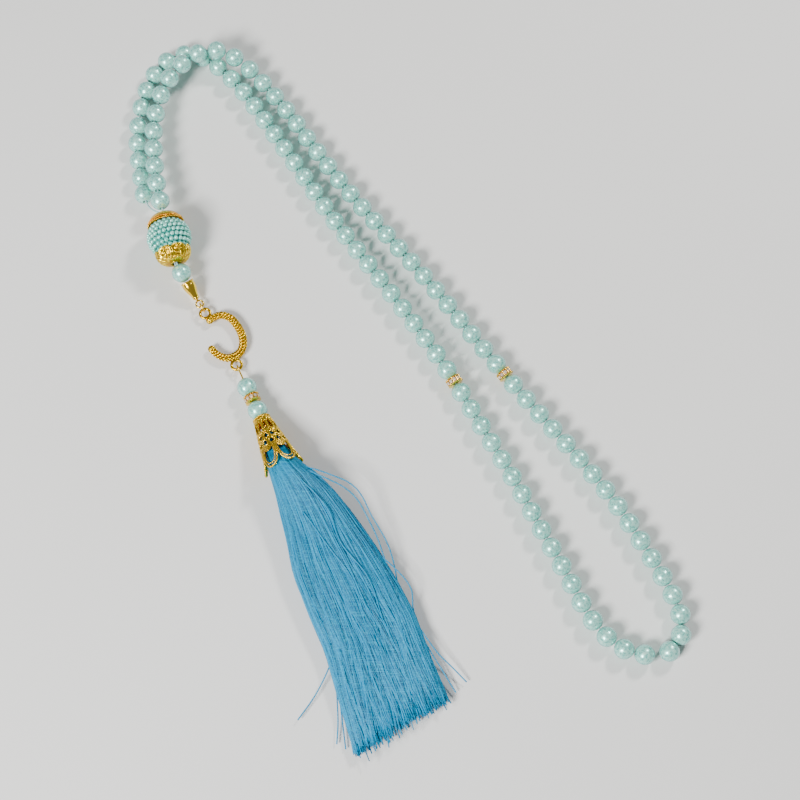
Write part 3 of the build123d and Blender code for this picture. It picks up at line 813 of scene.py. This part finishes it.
def ply_line(points, count):
    """Straight runs through the points, evenly stepped."""
    points = np.asarray(points, float)
    gone = np.concatenate([[0], np.cumsum(np.linalg.norm(np.diff(points, axis=0), axis=1))])
    wanted = np.linspace(0, gone[-1], count)
    return np.stack([np.interp(wanted, gone, points[:, k]) for k in range(3)], -1)


def on_hang(made):
    """A part made about Z, put on the leader pearl's centre and hanging as it does."""
    return copies(made, hang_axes, LEADER_PEARL)


pair_run = np.array([
    IMAME_CENTRE + IMAME_AXIS * (TOP_MOUTH - 0.4), lower_mouth - IMAME_AXIS * 0.4,
    LEADER_PEARL + HANG * (PEARL_R - 0.1),
])
pair = [thread_surface(ply_line(pair_run + pair_side * (0.48 * sign), 70)) for sign in (-1, 1)]
piece("imame_thread", "leader_bead", "thread", together(*pair), ["imame_thread"])
piece("leader_pearl", "leader_pearl", "pearl", on_hang(pearl(PAIR_HOLE_R)), ["leader_pearl"])


def bead_tip():
    """Clamshell: a tapering shell turned about the thread, parted along two sides, its rim flared in
    petals by a cosine."""
    profile = np.array([
        (1.35, 4.15), (2.3, 4.1), (2.85, 4.2), (2.75, 4.55), (2.6, 5.1), (2.72, 6.0), (2.62, 7.0),
        (2.3, 8.2), (1.85, 9.5), (1.45, 10.8), (1.3, 11.5), (1.42, 11.8), (1.2, 12.2), (0.7, 12.5),
        (0.0, 12.6), (0.0, 11.6), (1.0, 11.0), (1.9, 8.6), (2.3, 6.5), (2.2, 5.0), (1.35, 4.5),
    ])
    outside, finer, around = 14, 4, 120
    fine = np.linspace(0, len(profile), len(profile) * finer, endpoint=False)
    loop = np.concatenate([profile, profile[:1]])
    profile = np.stack([np.interp(fine, np.arange(len(loop)), loop[:, k]) for k in (0, 1)], -1)
    height = profile[:, 1]

    def part_line(angle, row):
        groove = bell(np.cos(angle), 0.07) * (height[row] < 11.2)
        flare = bell(height[row] - 4.25, 0.3) * 0.22 * np.cos(6 * angle)
        return (row < outside * finer) * (flare - 0.16 * groove)

    # painted shade: the colour darkens in the parting groove
    tone = np.clip(-7 * part_line(angles(around)[None], np.arange(len(height))[:, None]), 0, 1)
    shell = on_hang(turned(profile, around, swell=part_line, painted_shade_and_tone=tone))
    loop_ring = moved(ring(1.5, 0.4, 64, 16), TIP_LOOP)
    reach = np.linalg.norm(TIP_LOOP - LEADER_PEARL)
    stem_line = LEADER_PEARL + HANG * np.array([11.8, 12.6, reach - 1.5])[:, None]
    stem = wires(stem_line, [0.6, 0.55, 0.45], 16)
    return together(shell, loop_ring, stem)


piece("bead_tip", "bead_tip", "polished_gold", bead_tip(), ["bead_tip"], 60)


def knot():
    """Knot of thread: a ring wound three times round itself as it goes twice round the axis."""
    t = np.linspace(0, 4 * np.pi, 160)
    r = 0.62 + 0.36 * np.cos(1.5 * t)
    path = polar(r, t, 7.2 + 0.55 * np.sin(1.5 * t))
    stem = polar(0.3, 3 * t[:40], np.linspace(4.35, 7.0, 40))
    return on_hang(together(wires(path, 0.36, 10), wires(stem, 0.36, 10, lean=UP + 0.3)))


piece("thread_knot", "bead_tip", "thread", knot(), ["thread_knot"])

UPPER_EYELET = np.array([-77.9, 26.5, LINK_Z])
LOWER_EYELET = np.array([-64.3, 4.2, LINK_Z])
ring_way = unit(UPPER_EYELET - TIP_LOOP)
ring_centre = TIP_LOOP + ring_way * 2.2 + UP * 0.5
ring_axes = frames(np.cross(ring_way, UP))
piece("jump_ring", "jump_ring", "polished_gold",
      copies(ring(1.95, 0.35, 72, 16), ring_axes, ring_centre), ["jump_ring"])

# ---------------------------------------------------------------- scroll link
SCROLL = np.array([
    (-75.9, 23.5), (-74.2, 24.9), (-71.1, 25.7), (-67.9, 24.7), (-65.4, 22.2), (-63.2, 18.7),
    (-62.0, 14.7), (-62.4, 10.9), (-64.3, 8.4), (-67.3, 7.2), (-70.3, 7.6), (-72.9, 9.1), (-74.6, 11.0),
])
LINK_BALLS = (((-75.9, 23.5), 1.5), ((-74.6, 11.0), 1.5), ((-64.6, 7.0), 1.05))


def through(points, count):
    """Smooth line through points: cubic between neighbours, each slope set by the points beside it."""
    points = np.asarray(points, float)
    before, after = 2 * points[0] - points[1], 2 * points[-1] - points[-2]
    p = np.concatenate([before[None], points, after[None]])
    t = np.linspace(0, len(points) - 1 - 1e-9, count)
    k, f = t.astype(int), (t % 1.0)[:, None]
    a, b, c, d = p[k], p[k + 1], p[k + 2], p[k + 3]
    bend, twist = 2 * a - 5 * b + 4 * c - d, 3 * b - a - 3 * c + d
    return 0.5 * (2 * b + (c - a) * f + bend * f**2 + twist * f**3)


def pebble_bar(path, half_width, half_height, pitch=1.3):
    """Flat bar along a path whose face is covered in rows of pebbles: an oval section, raised by the
    product of two rectified sines, alternate rows stepped by half a pebble."""
    gone = distance_gone(path)[:, None]
    across, _ = across_and_above(path)
    angle = angles(60)[None, :]
    cos, sin = np.cos(angle), np.sin(angle)
    width = np.asarray(half_width).reshape(-1, 1)
    oval_x = np.sign(cos) * np.abs(cos) ** 0.75 * width
    oval_z = np.sign(sin) * np.abs(sin) ** 0.6 * half_height + 0 * gone
    row = angle * 8 / (2 * np.pi)
    step = np.floor(row) % 2
    along = np.abs(np.sin(np.pi * (gone / pitch + step * 0.5)))
    pebble = along**0.6 * np.abs(np.sin(np.pi * row)) ** 0.6
    lift = 0.40 * pebble
    points = path[:, None] + ((oval_x + lift * cos)[..., None] * across[:, None])
    points[..., 2] += oval_z + lift * sin
    # painted shade: the colour darkens between the pebbles
    return skinned(path, points, np.clip(1.1 - 1.3 * pebble**2, 0, 1))


def pebble_ball(radius, flat, around=36, rows=25):
    """Flattened ball, its skin raised by the product of two rectified sines."""
    latitude = np.linspace(-np.pi / 2, np.pi / 2, rows)[:, None]
    angle = angles(around)[None]
    pebble = np.abs(np.sin(6 * latitude)) ** 0.6 * np.abs(np.sin(4.5 * angle)) ** 0.6
    r = radius * np.cos(latitude) + 0.15 * pebble * np.cos(latitude)
    z = radius * flat * np.sin(latitude) + 0.15 * pebble * np.sin(latitude)
    # painted shade: the colour darkens between the pebbles
    return shape(polar(r, angle, z), sheet_faces(rows, around), np.clip(1 - 1.25 * pebble, 0, 1))


def scroll_link():
    """An open scroll of pebbled bar, widest halfway along, with a ball at each end, one where the lower
    eyelet joins it, and the two eyelets."""
    steps = 700
    path = np.concatenate([through(SCROLL, steps), np.full((steps, 1), LINK_Z)], -1)
    width = 1.0 + 0.36 * np.sin(np.pi * np.linspace(0, 1, steps)) ** 0.8
    parts = [pebble_bar(path, width, 0.78)]
    for spot, radius in LINK_BALLS:
        parts.append(moved(pebble_ball(radius, 0.58), np.array([*spot, LINK_Z])))
    for eyelet in (UPPER_EYELET, LOWER_EYELET):
        parts.append(moved(ring(2.05, 0.6, 72, 20, 0.05, 24), eyelet))
    return together(*parts)


piece("scroll_link", "scroll_link", "pebbled_gold", scroll_link(), ["scroll_link"])

# ---------------------------------------------------------------- eye pin and its pearls
PIN_HEADING, PIN_RISE = -65.2, 7.5
PIN_WAY = heading(PIN_HEADING, PIN_RISE)
pin_side = unit(np.cross(heading(PIN_HEADING), UP))
eye_centre = LOWER_EYELET + heading(PIN_HEADING) * 2.05 + UP * 0.4
PIN_LOOP_AT, CAP_START, CAP_LENGTH = 28.5, 24.5, 24.0
CAP_TOP_R, CAP_MOUTH_R, HEAD_RECESS = 3.2, 8.2, 1.7
PIN_HOLE_R, PIN_EYE_R, PIN_LOOP_R = 0.44, 1.5, 1.0
UPPER_PEARL_AT, PIN_RONDELLE_AT, LOWER_PEARL_AT = 9.2, 14.8, 20.4
CAP_END = CAP_START + CAP_LENGTH
pin_axes = frames(PIN_WAY)


def on_pin(made, distance=0.0):
    """A part made about Z, put on the pin this far from its eye."""
    return copies(made, pin_axes, eye_centre + PIN_WAY * distance)


side_axes = frames(pin_side)
shaft = eye_centre + PIN_WAY * np.linspace(1.4, PIN_LOOP_AT - 0.95, 30)[:, None]
pin = together(
    copies(ring(PIN_EYE_R, 0.35, 72, 16), side_axes, eye_centre),
    wires(shaft, 0.35, 16),
    copies(ring(PIN_LOOP_R, 0.3, 56, 14), side_axes, eye_centre + PIN_WAY * PIN_LOOP_AT),
)
piece("eye_pin", "eye_pin", "polished_gold", pin, ["eye_pin"])
for place, distance in (("upper", UPPER_PEARL_AT), ("lower", LOWER_PEARL_AT)):
    node = f"pendant_pearl_{place}"
    piece(node, f"pendant_{place}_pearl", "pearl", on_pin(pearl(PIN_HOLE_R), distance), [node])
rondelle("pendant_rondelle", "pendant_rondelle", PIN_WAY, eye_centre + PIN_WAY * PIN_RONDELLE_AT)

# ---------------------------------------------------------------- filigree cone
REPEATS, PLATE_END, PLATE_WAVE, ARCH_FROM = 6, 15.6, 0.9, 14.6
# rope wires round the plate: distance below the top and thickness
CONE_ROPES = ((0.15, 0.36), (1.35, 0.28), (7.6, 0.26))


def cone_radius(s):
    """Radius of the cone at distance s below its top, flared a little at the mouth."""
    return CAP_TOP_R + (CAP_MOUTH_R - CAP_TOP_R - 0.45) * s / CAP_LENGTH


def on_cone(angle, s, lift=0.0):
    """Points on the cone's face at these angles and distances below the top."""
    return polar(cone_radius(s) + lift, angle, s)


def hole_depth(angle, s):
    """How far each point of the plate is from the nearest opening's edge, negative inside one."""
    r = cone_radius(s)
    cell = 2 * np.pi / (2 * REPEATS)

    def nearest(offset, mid, half_w, half_l):
        across = ((angle - offset * cell + cell / 2) % cell - cell / 2) * r
        return (np.hypot(across / half_w, (s - mid) / half_l) - 1) * half_w

    drops = nearest(0.0, 4.7, 0.62 + 0.06 * (s - 4.7), 2.3)
    upper = nearest(0.5, 9.6, 0.72, 0.85)
    lower = nearest(0.0, 12.6, 0.82, 0.95)
    return np.minimum(np.minimum(drops, upper), lower)


def arch_line(share, sink=0.0):
    """One arch below the plate: x from -1 to 1 across it, hanging down like a U."""
    x = np.cos(np.pi * (1 - share))
    down = ARCH_FROM + (9.0 - sink) * np.sin(np.pi * share) ** 0.72
    return x * (0.94 - sink * 0.12) * np.pi / REPEATS, down


def tassel_cap():
    """Pierced cone: a plate with grains and holes, rope wire round its edges, arches round its mouth.
    A grain is the product of two rectified waves, alternate rows stepped by half a grain."""
    around, rows, grain_pitch = 252, 96, 0.7
    angle = angles(around)[None, :]
    s = np.linspace(0, 1, rows)[:, None] * (PLATE_END - PLATE_WAVE * np.cos(REPEATS * angle))
    depth = hole_depth(angle, s)
    step = (np.floor(s / grain_pitch) % 2) * np.pi / 2
    grain = np.abs(np.cos(18 * angle + step)) * np.abs(np.sin(np.pi * s / grain_pitch))
    rim = bell(depth - 0.22, 0.16)
    lift = 0.22 * grain ** 0.7 * np.clip(depth / 0.5, 0, 1) + 0.26 * rim
    outer = on_cone(angle, s, lift)
    inner = on_cone(angle, s, -0.4)
    faces = sheet_faces(rows, around)
    keep = (depth.reshape(-1)[faces].min(axis=1) > -0.1)
    # painted shade: the colour darkens on the plate between grains and rims
    tone = np.clip(0.85 - 3.4 * lift, 0, 1)
    count = rows * around
    plate_out = faces[keep]
    plate_in = plate_out[:, ::-1] + count
    edges = np.concatenate([plate_out[:, [k, (k + 1) % 4]] for k in range(4)])
    edge_number = edges.min(1).astype(np.int64) * count + edges.max(1)
    _, first, times = np.unique(edge_number, return_index=True, return_counts=True)
    start, end = edges[first[times == 1]].T
    walls = np.stack([end, start, start + count, end + count], -1)
    plate = shape(
        np.concatenate([outer.reshape(-1, 3), inner.reshape(-1, 3)]),
        np.concatenate([plate_out, plate_in, walls]),
        # painted shade: the inner face takes the full shade
        np.concatenate([tone.reshape(-1), np.ones(count)]),
    )
    parts = [plate]
    for height, wire in CONE_ROPES:
        parts.append(moved(ring(cone_radius(height) + 0.05, wire, 180, 8, 0.22, 45), UP * height))
    parts.append(moved(ring(cone_radius(0.1) * 0.55, 1.15, 60, 10, squash=0.16), UP * 0.3))
    share = np.linspace(0.0, 1.0, 90)
    for sink, wire in ((0.0, 0.42), (1.5, 0.26)):
        across, down = arch_line(share, sink)
        middles = angles(REPEATS, 0.5)[:, None]
        paths = on_cone(across + middles, down + 0 * middles, 0.08)
        outwards = unit(paths * [1, 1, 0])
        beading = wire * (1 + 0.22 * np.cos(share * 2 * np.pi * 26))
        parts.append(wires(paths, beading, 8, lean=outwards, painted_shade_and_tone=0.2))
    tips = angles(REPEATS)[:, None]
    drop = np.linspace(15.0, 19.5, 24)
    spikes = on_cone(tips + 0 * drop, drop + 0 * tips, 0.05)
    thin = np.linspace(0.62, 0.10, 24) * (1 + 0.2 * np.cos(np.linspace(0, 14 * np.pi, 24)))
    parts.append(wires(spikes, thin, 8, lean=unit(spikes * [1, 1, 0]), flat=0.6, painted_shade_and_tone=0.2))
    return on_pin(together(*parts), CAP_START)


piece("tassel_cap", "tassel_cap", "filigree_gold", tassel_cap(), ["tassel_cap"])

# ---------------------------------------------------------------- tassel
TASSEL_LOOP_R, CORD_R, FLUTES = 1.5, 0.35, 35
HEAD_START = PIN_LOOP_AT + 0.15 + 2 * TASSEL_LOOP_R + CORD_R
BINDING_R, BINDING_TURNS, BINDING_CORD_R = 3.12, 3.5, 0.24
loop_way = np.cross(pin_side, PIN_WAY)
loop_centre = eye_centre + PIN_WAY * (PIN_LOOP_AT + 0.1 + TASSEL_LOOP_R)
loop_cord = ring(TASSEL_LOOP_R, CORD_R, 90, 12, 0.12, 30)
piece("tassel_loop", "eye_pin", "silk_cord",
      copies(loop_cord, frames(loop_way), loop_centre), ["tassel_loop"])


def tassel_head():
    """Silk gathered under the binding: a frustum fluted into strands by a rectified sine."""
    around = 420
    profile = [(0.02, HEAD_START), (1.9, HEAD_START), (2.4, HEAD_START + 0.4), (2.68, HEAD_START + 1.2),
               (2.95, HEAD_START + 2.4), (3.4, HEAD_START + 4.0), (5.0, CAP_END - 6.0),
               (6.1, CAP_END - HEAD_RECESS), (0.02, CAP_END - HEAD_RECESS)]
    weight = np.array([0, 0.4, 0.7, 0.8, 1, 1, 1, 1, 0])

    def flute(angle, row):
        return -0.22 * weight[row] * np.abs(np.sin(FLUTES * angle + 0.6 * row))

    # painted shade: the colour darkens in the flutes between strands
    tone = np.abs(np.sin(FLUTES * angles(around))) * 0.9
    return turned(profile, around, closed=False, swell=flute, painted_shade_and_tone=tone)


piece("tassel_head", "eye_pin", "silk", on_pin(tassel_head()), ["tassel_head"])
turns = np.linspace(0, 2 * np.pi * BINDING_TURNS, 260)
winding = polar(BINDING_R, turns, HEAD_START + 0.75 + turns * 0.042)
piece("tassel_binding", "eye_pin", "silk_cord", on_pin(wires(winding, BINDING_CORD_R, 8)),
      ["tassel_binding"])

MOUTH = eye_centre + PIN_WAY * CAP_END
SKIRT_WAY = heading(TASSEL_HEADING)
SKIRT_SIDE = np.array([-SKIRT_WAY[1], SKIRT_WAY[0], 0.0])
# the skirt's sections: distance past the cap, drift to the right, half width, half height and
# height of the middle
SECTIONS = np.array([
    (-7.0, -0.1, 4.9, 4.9, 8.25), (0.0, 0.3, 6.4, 6.2, 9.1), (6.0, 2.0, 8.6, 6.6, 8.7),
    (14.0, 3.2, 10.9, 6.6, 7.8), (24.0, 4.0, 13.0, 6.1, 6.9), (40.0, 4.3, 16.1, 5.2, 5.9),
    (57.0, 5.4, 17.5, 4.6, 5.2), (72.0, 6.2, 18.0, 4.2, 4.7), (90.0, 4.7, 18.5, 3.6, 4.0),
    (112.0, 3.7, 19.6, 3.0, 3.3),
])
STRANDS_FROM, STRANDS_LENGTH, OUTSIDE_R, LOCKS = -6.5, 109.5, 1.03, 4.5


def skirt_points(distance, x, y):
    """Points of the skirt: distance past the cap, x from -1 to 1 across and y from -1 to 1 through it.
    Inside the cap it follows the pin, and it never sinks below the ground."""
    drift, wide, high, middle = (
        np.interp(distance, SECTIONS[:, 0], SECTIONS[:, k]) for k in (1, 2, 3, 4))
    inside = np.where(distance < 0, 1.0, 0.0)
    way = PIN_WAY * inside[..., None] + SKIRT_WAY * (1 - inside)[..., None]
    spot = MOUTH + way * distance[..., None]
    spot[..., 2] = middle
    spot = spot + SKIRT_SIDE * (drift + wide * x)[..., None]
    spot[..., 2] = np.maximum(spot[..., 2] + high * y, 0.3)
    return spot


def strand_paths(count, top, spread, steps=26):
    """Silk strands: each keeps its place in the section, wanders a little on a slow wave and gathers
    into locks; they lie in layers from 0 at the middle to 1 at the outside."""
    turn = rng.uniform(0, 2 * np.pi, count) if not top else rng.uniform(-0.08, 1.08, count) * np.pi
    depth = np.sqrt(rng.uniform(spread[0], spread[1], count))
    x0, y0 = np.cos(turn) * depth, np.sin(turn) * depth
    full = STRANDS_LENGTH + 2.2 * (x0 < -0.3) + rng.normal(0, 1.3, count) - 2.5 * np.maximum(x0, 0) ** 2
    full -= rng.exponential(3.2, count) + 1.8 * np.sin(11 * x0 + 0.7) ** 2
    share = np.linspace(0, 1, steps)[None, :]
    distance = STRANDS_FROM + (full[:, None] - STRANDS_FROM) * share
    phase = rng.uniform(0, 2 * np.pi, (4, count, 1))
    loose = np.clip(distance / 60, 0, 1.4)
    wave = 0.07 * np.sin(2.2 * np.pi * share + phase[0])
    wave = wave + 0.025 * np.sin(5.5 * np.pi * share + phase[1])
    slide = rng.normal(0, 0.12, (count, 1)) * np.clip(distance / 100, 0, 1) ** 1.3
    lock = 0.045 * np.sin(2 * np.pi * LOCKS * x0)[:, None] * np.clip((distance - 30) / 80, 0, 1)
    x = x0[:, None] + wave * loose + slide + lock
    y = y0[:, None] + (0.06 * np.sin(3 * np.pi * share + phase[2])) * loose
    reach = np.hypot(x, y)
    tuck = np.where(reach > OUTSIDE_R, OUTSIDE_R / np.maximum(reach, 1e-6), 1.0)
    return skirt_points(distance, x * tuck, y * tuck)


def strands(count, top, spread, radius):
    """Strands as thin round threads, each with its own tone."""
    paths = strand_paths(count, top, spread)
    # random tone for each strand towards the shade colour; the darker strands also stand in for shade
    # in the gaps
    tone = np.clip(rng.normal(0.30, 0.34, (count, 1)), 0, 1)
    thick = radius * rng.uniform(0.8, 1.15, (count, 1)) * np.ones((1, paths.shape[1]))
    thick[:, -1] *= 0.75
    return wires(paths, thick, 5, painted_shade_and_tone=tone)


def skirt_core():
    """The mass of silk inside: the section's oval, fluted lengthways by a rectified sine, both ends
    closed."""
    rows, around = 70, 260
    share = np.linspace(0, 1, rows)[:, None]
    angle = angles(around)[None, :]
    distance = -6.0 + 112.0 * share + 0 * angle
    flute = 0.90 - 0.035 * np.abs(np.sin(45 * angle + 3 * np.sin(5 * share)))
    flute[0], flute[-1] = 0.0, 0.0
    points = skirt_points(distance, flute * np.cos(angle), flute * np.sin(angle))
    # painted shade: the whole inner mass is darkened most of the way to the shade colour, as the shade
    # between strands
    return shape(points, sheet_faces(rows, around), 0.8)


# stray threads, each by a few places: distance past the cap, x across the section and y through it
STRAYS = [
    [(40, -0.7, 0.2), (62, -0.72, 0.1), (74, -0.90, 0.0), (84, -1.4, -0.4), (91, -1.95, -0.6)],
    [(60, -0.8, 0.1), (80, -0.95, 0.0), (96, -1.15, -0.5), (105, -1.32, -0.7)],
    [(60, -0.75, 0.1), (80, -0.9, 0.0), (94, -1.05, -0.5), (108, -1.18, -0.7)],
    [(50, 0.85, 0.2), (70, 0.95, 0.1), (86, 1.15, 0.0), (96, 1.36, -0.3), (103, 1.5, -0.6)],
    [(60, 0.85, 0.2), (80, 1.0, 0.1), (92, 1.12, -0.2), (105, 1.22, -0.6)],
    [(2, 0.8, 0.5), (10, 1.35, 0.5), (18, 1.62, 0.4), (30, 1.42, 0.2), (46, 1.26, 0.0),
     (60, 0.98, 0.0)],
    [(4, 0.7, 0.6), (12, 1.12, 0.7), (20, 1.38, 0.5), (34, 1.24, 0.3), (50, 1.02, 0.2), (64, 0.9, 0.0)],
    [(44, 0.95, 0.2), (52, 1.12, 0.2), (62, 1.22, 0.1), (70, 1.05, 0.0), (82, 0.9, 0.0)],
    [(8, 0.2, 1.03), (22, 0.42, 1.08), (36, 0.30, 1.10), (52, 0.48, 1.06), (70, 0.35, 1.04)],
    [(20, -0.3, 1.04), (34, -0.05, 1.10), (50, 0.15, 1.08), (66, 0.02, 1.04)],
    [(92, -0.85, 0.0), (102, -1.0, -0.3), (111, -1.06, -0.7)],
    [(90, -0.80, 0.0), (100, -0.92, -0.3), (108, -1.02, -0.7)],
    [(92, 0.86, 0.0), (101, 0.97, -0.2), (108, 1.05, -0.6)],
]


def stray_strands():
    """Single threads that have left the bundle, each a smooth line through a few places beside it."""
    paths = [skirt_points(*through(places, 40).T) for places in STRAYS]
    return wires(np.stack(paths), 0.26, 6, painted_shade_and_tone=0.15)


def silk_piece(name, made, nodes=()):
    """A piece of the skirt, shaped along the pin inside the cap, on no body, its placement baked into
    its points.
    """
    skirt = piece(name, None, "silk", made, nodes)
    start, end = MOUTH + SKIRT_WAY * 0.5, MOUTH + SKIRT_WAY * 24.0
    start[2] = end[2] = MOUTH[2]
    start * MM
    end * MM
    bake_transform(skirt)


silk_piece("tassel_skirt", strands(720, True, (0.80, 1.0), 0.30), ["tassel_skirt"])
silk_piece("tassel_skirt_inner", strands(560, False, (0.55, 0.95), 0.34))
silk_piece("tassel_skirt_mass", skirt_core())
silk_piece("tassel_strays", stray_strands())

# ---------------------------------------------------------------- what stays as packed
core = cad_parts["imame_core"]
core.data.materials.clear()
core.data.materials.append(FINISHES["core"])

# ---------------------------------------------------------------- floor and light (metres)
FLOOR_HALF, FLOOR_DROP = 2.5, 0.0002
floor_finish = Finish("pale_floor", Roughness=0.6)
floor_finish.drive("Base Color", floor_finish.blend(
    floor_finish.noise(6.0, 3.0), colour(0.74, 0.74, 0.73), colour(0.80, 0.80, 0.79)))
floor_mesh = bpy.data.meshes.new("floor")
floor_corners = [(x * FLOOR_HALF, y * FLOOR_HALF, 0) for x, y in ((-1, -1), (1, -1), (1, 1), (-1, 1))]
floor_mesh.from_pydata(floor_corners, [], [(0, 1, 2, 3)])
floor_mesh.materials.append(floor_finish.material)
floor = bpy.data.objects.new("floor", floor_mesh)
floor.location.z = -FLOOR_DROP
bpy.context.scene.collection.objects.link(floor)


def softbox(name, place, target, size, watts, tint):
    """A square light of this size, in metres, pointed at the target."""
    data = bpy.data.lights.new(name, "AREA")
    data.shape, data.size, data.energy, data.color = "SQUARE", size, watts, tint
    lamp = bpy.data.objects.new(name, data)
    lamp.location = place
    lamp.rotation_euler = Matrix(frames(np.array(place) - np.array(target)).tolist()).to_euler()
    bpy.context.scene.collection.objects.link(lamp)


softbox("window", (-0.62, -0.62, 0.85), (0.0, 0.0, 0.0), 0.36, 25.0, (1.0, 0.99, 0.97))
softbox("lamp", (0.55, 0.60, 0.80), (0.0, 0.0, 0.0), 0.16, 9.0, (1.0, 0.98, 0.95))
world = bpy.data.worlds.new("studio")
bpy.context.scene.world = world
world.use_nodes = True
sky = world.node_tree.nodes["Background"]
sky.inputs["Color"].default_value = colour(0.86, 0.90, 0.94)
sky.inputs["Strength"].default_value = 0.27
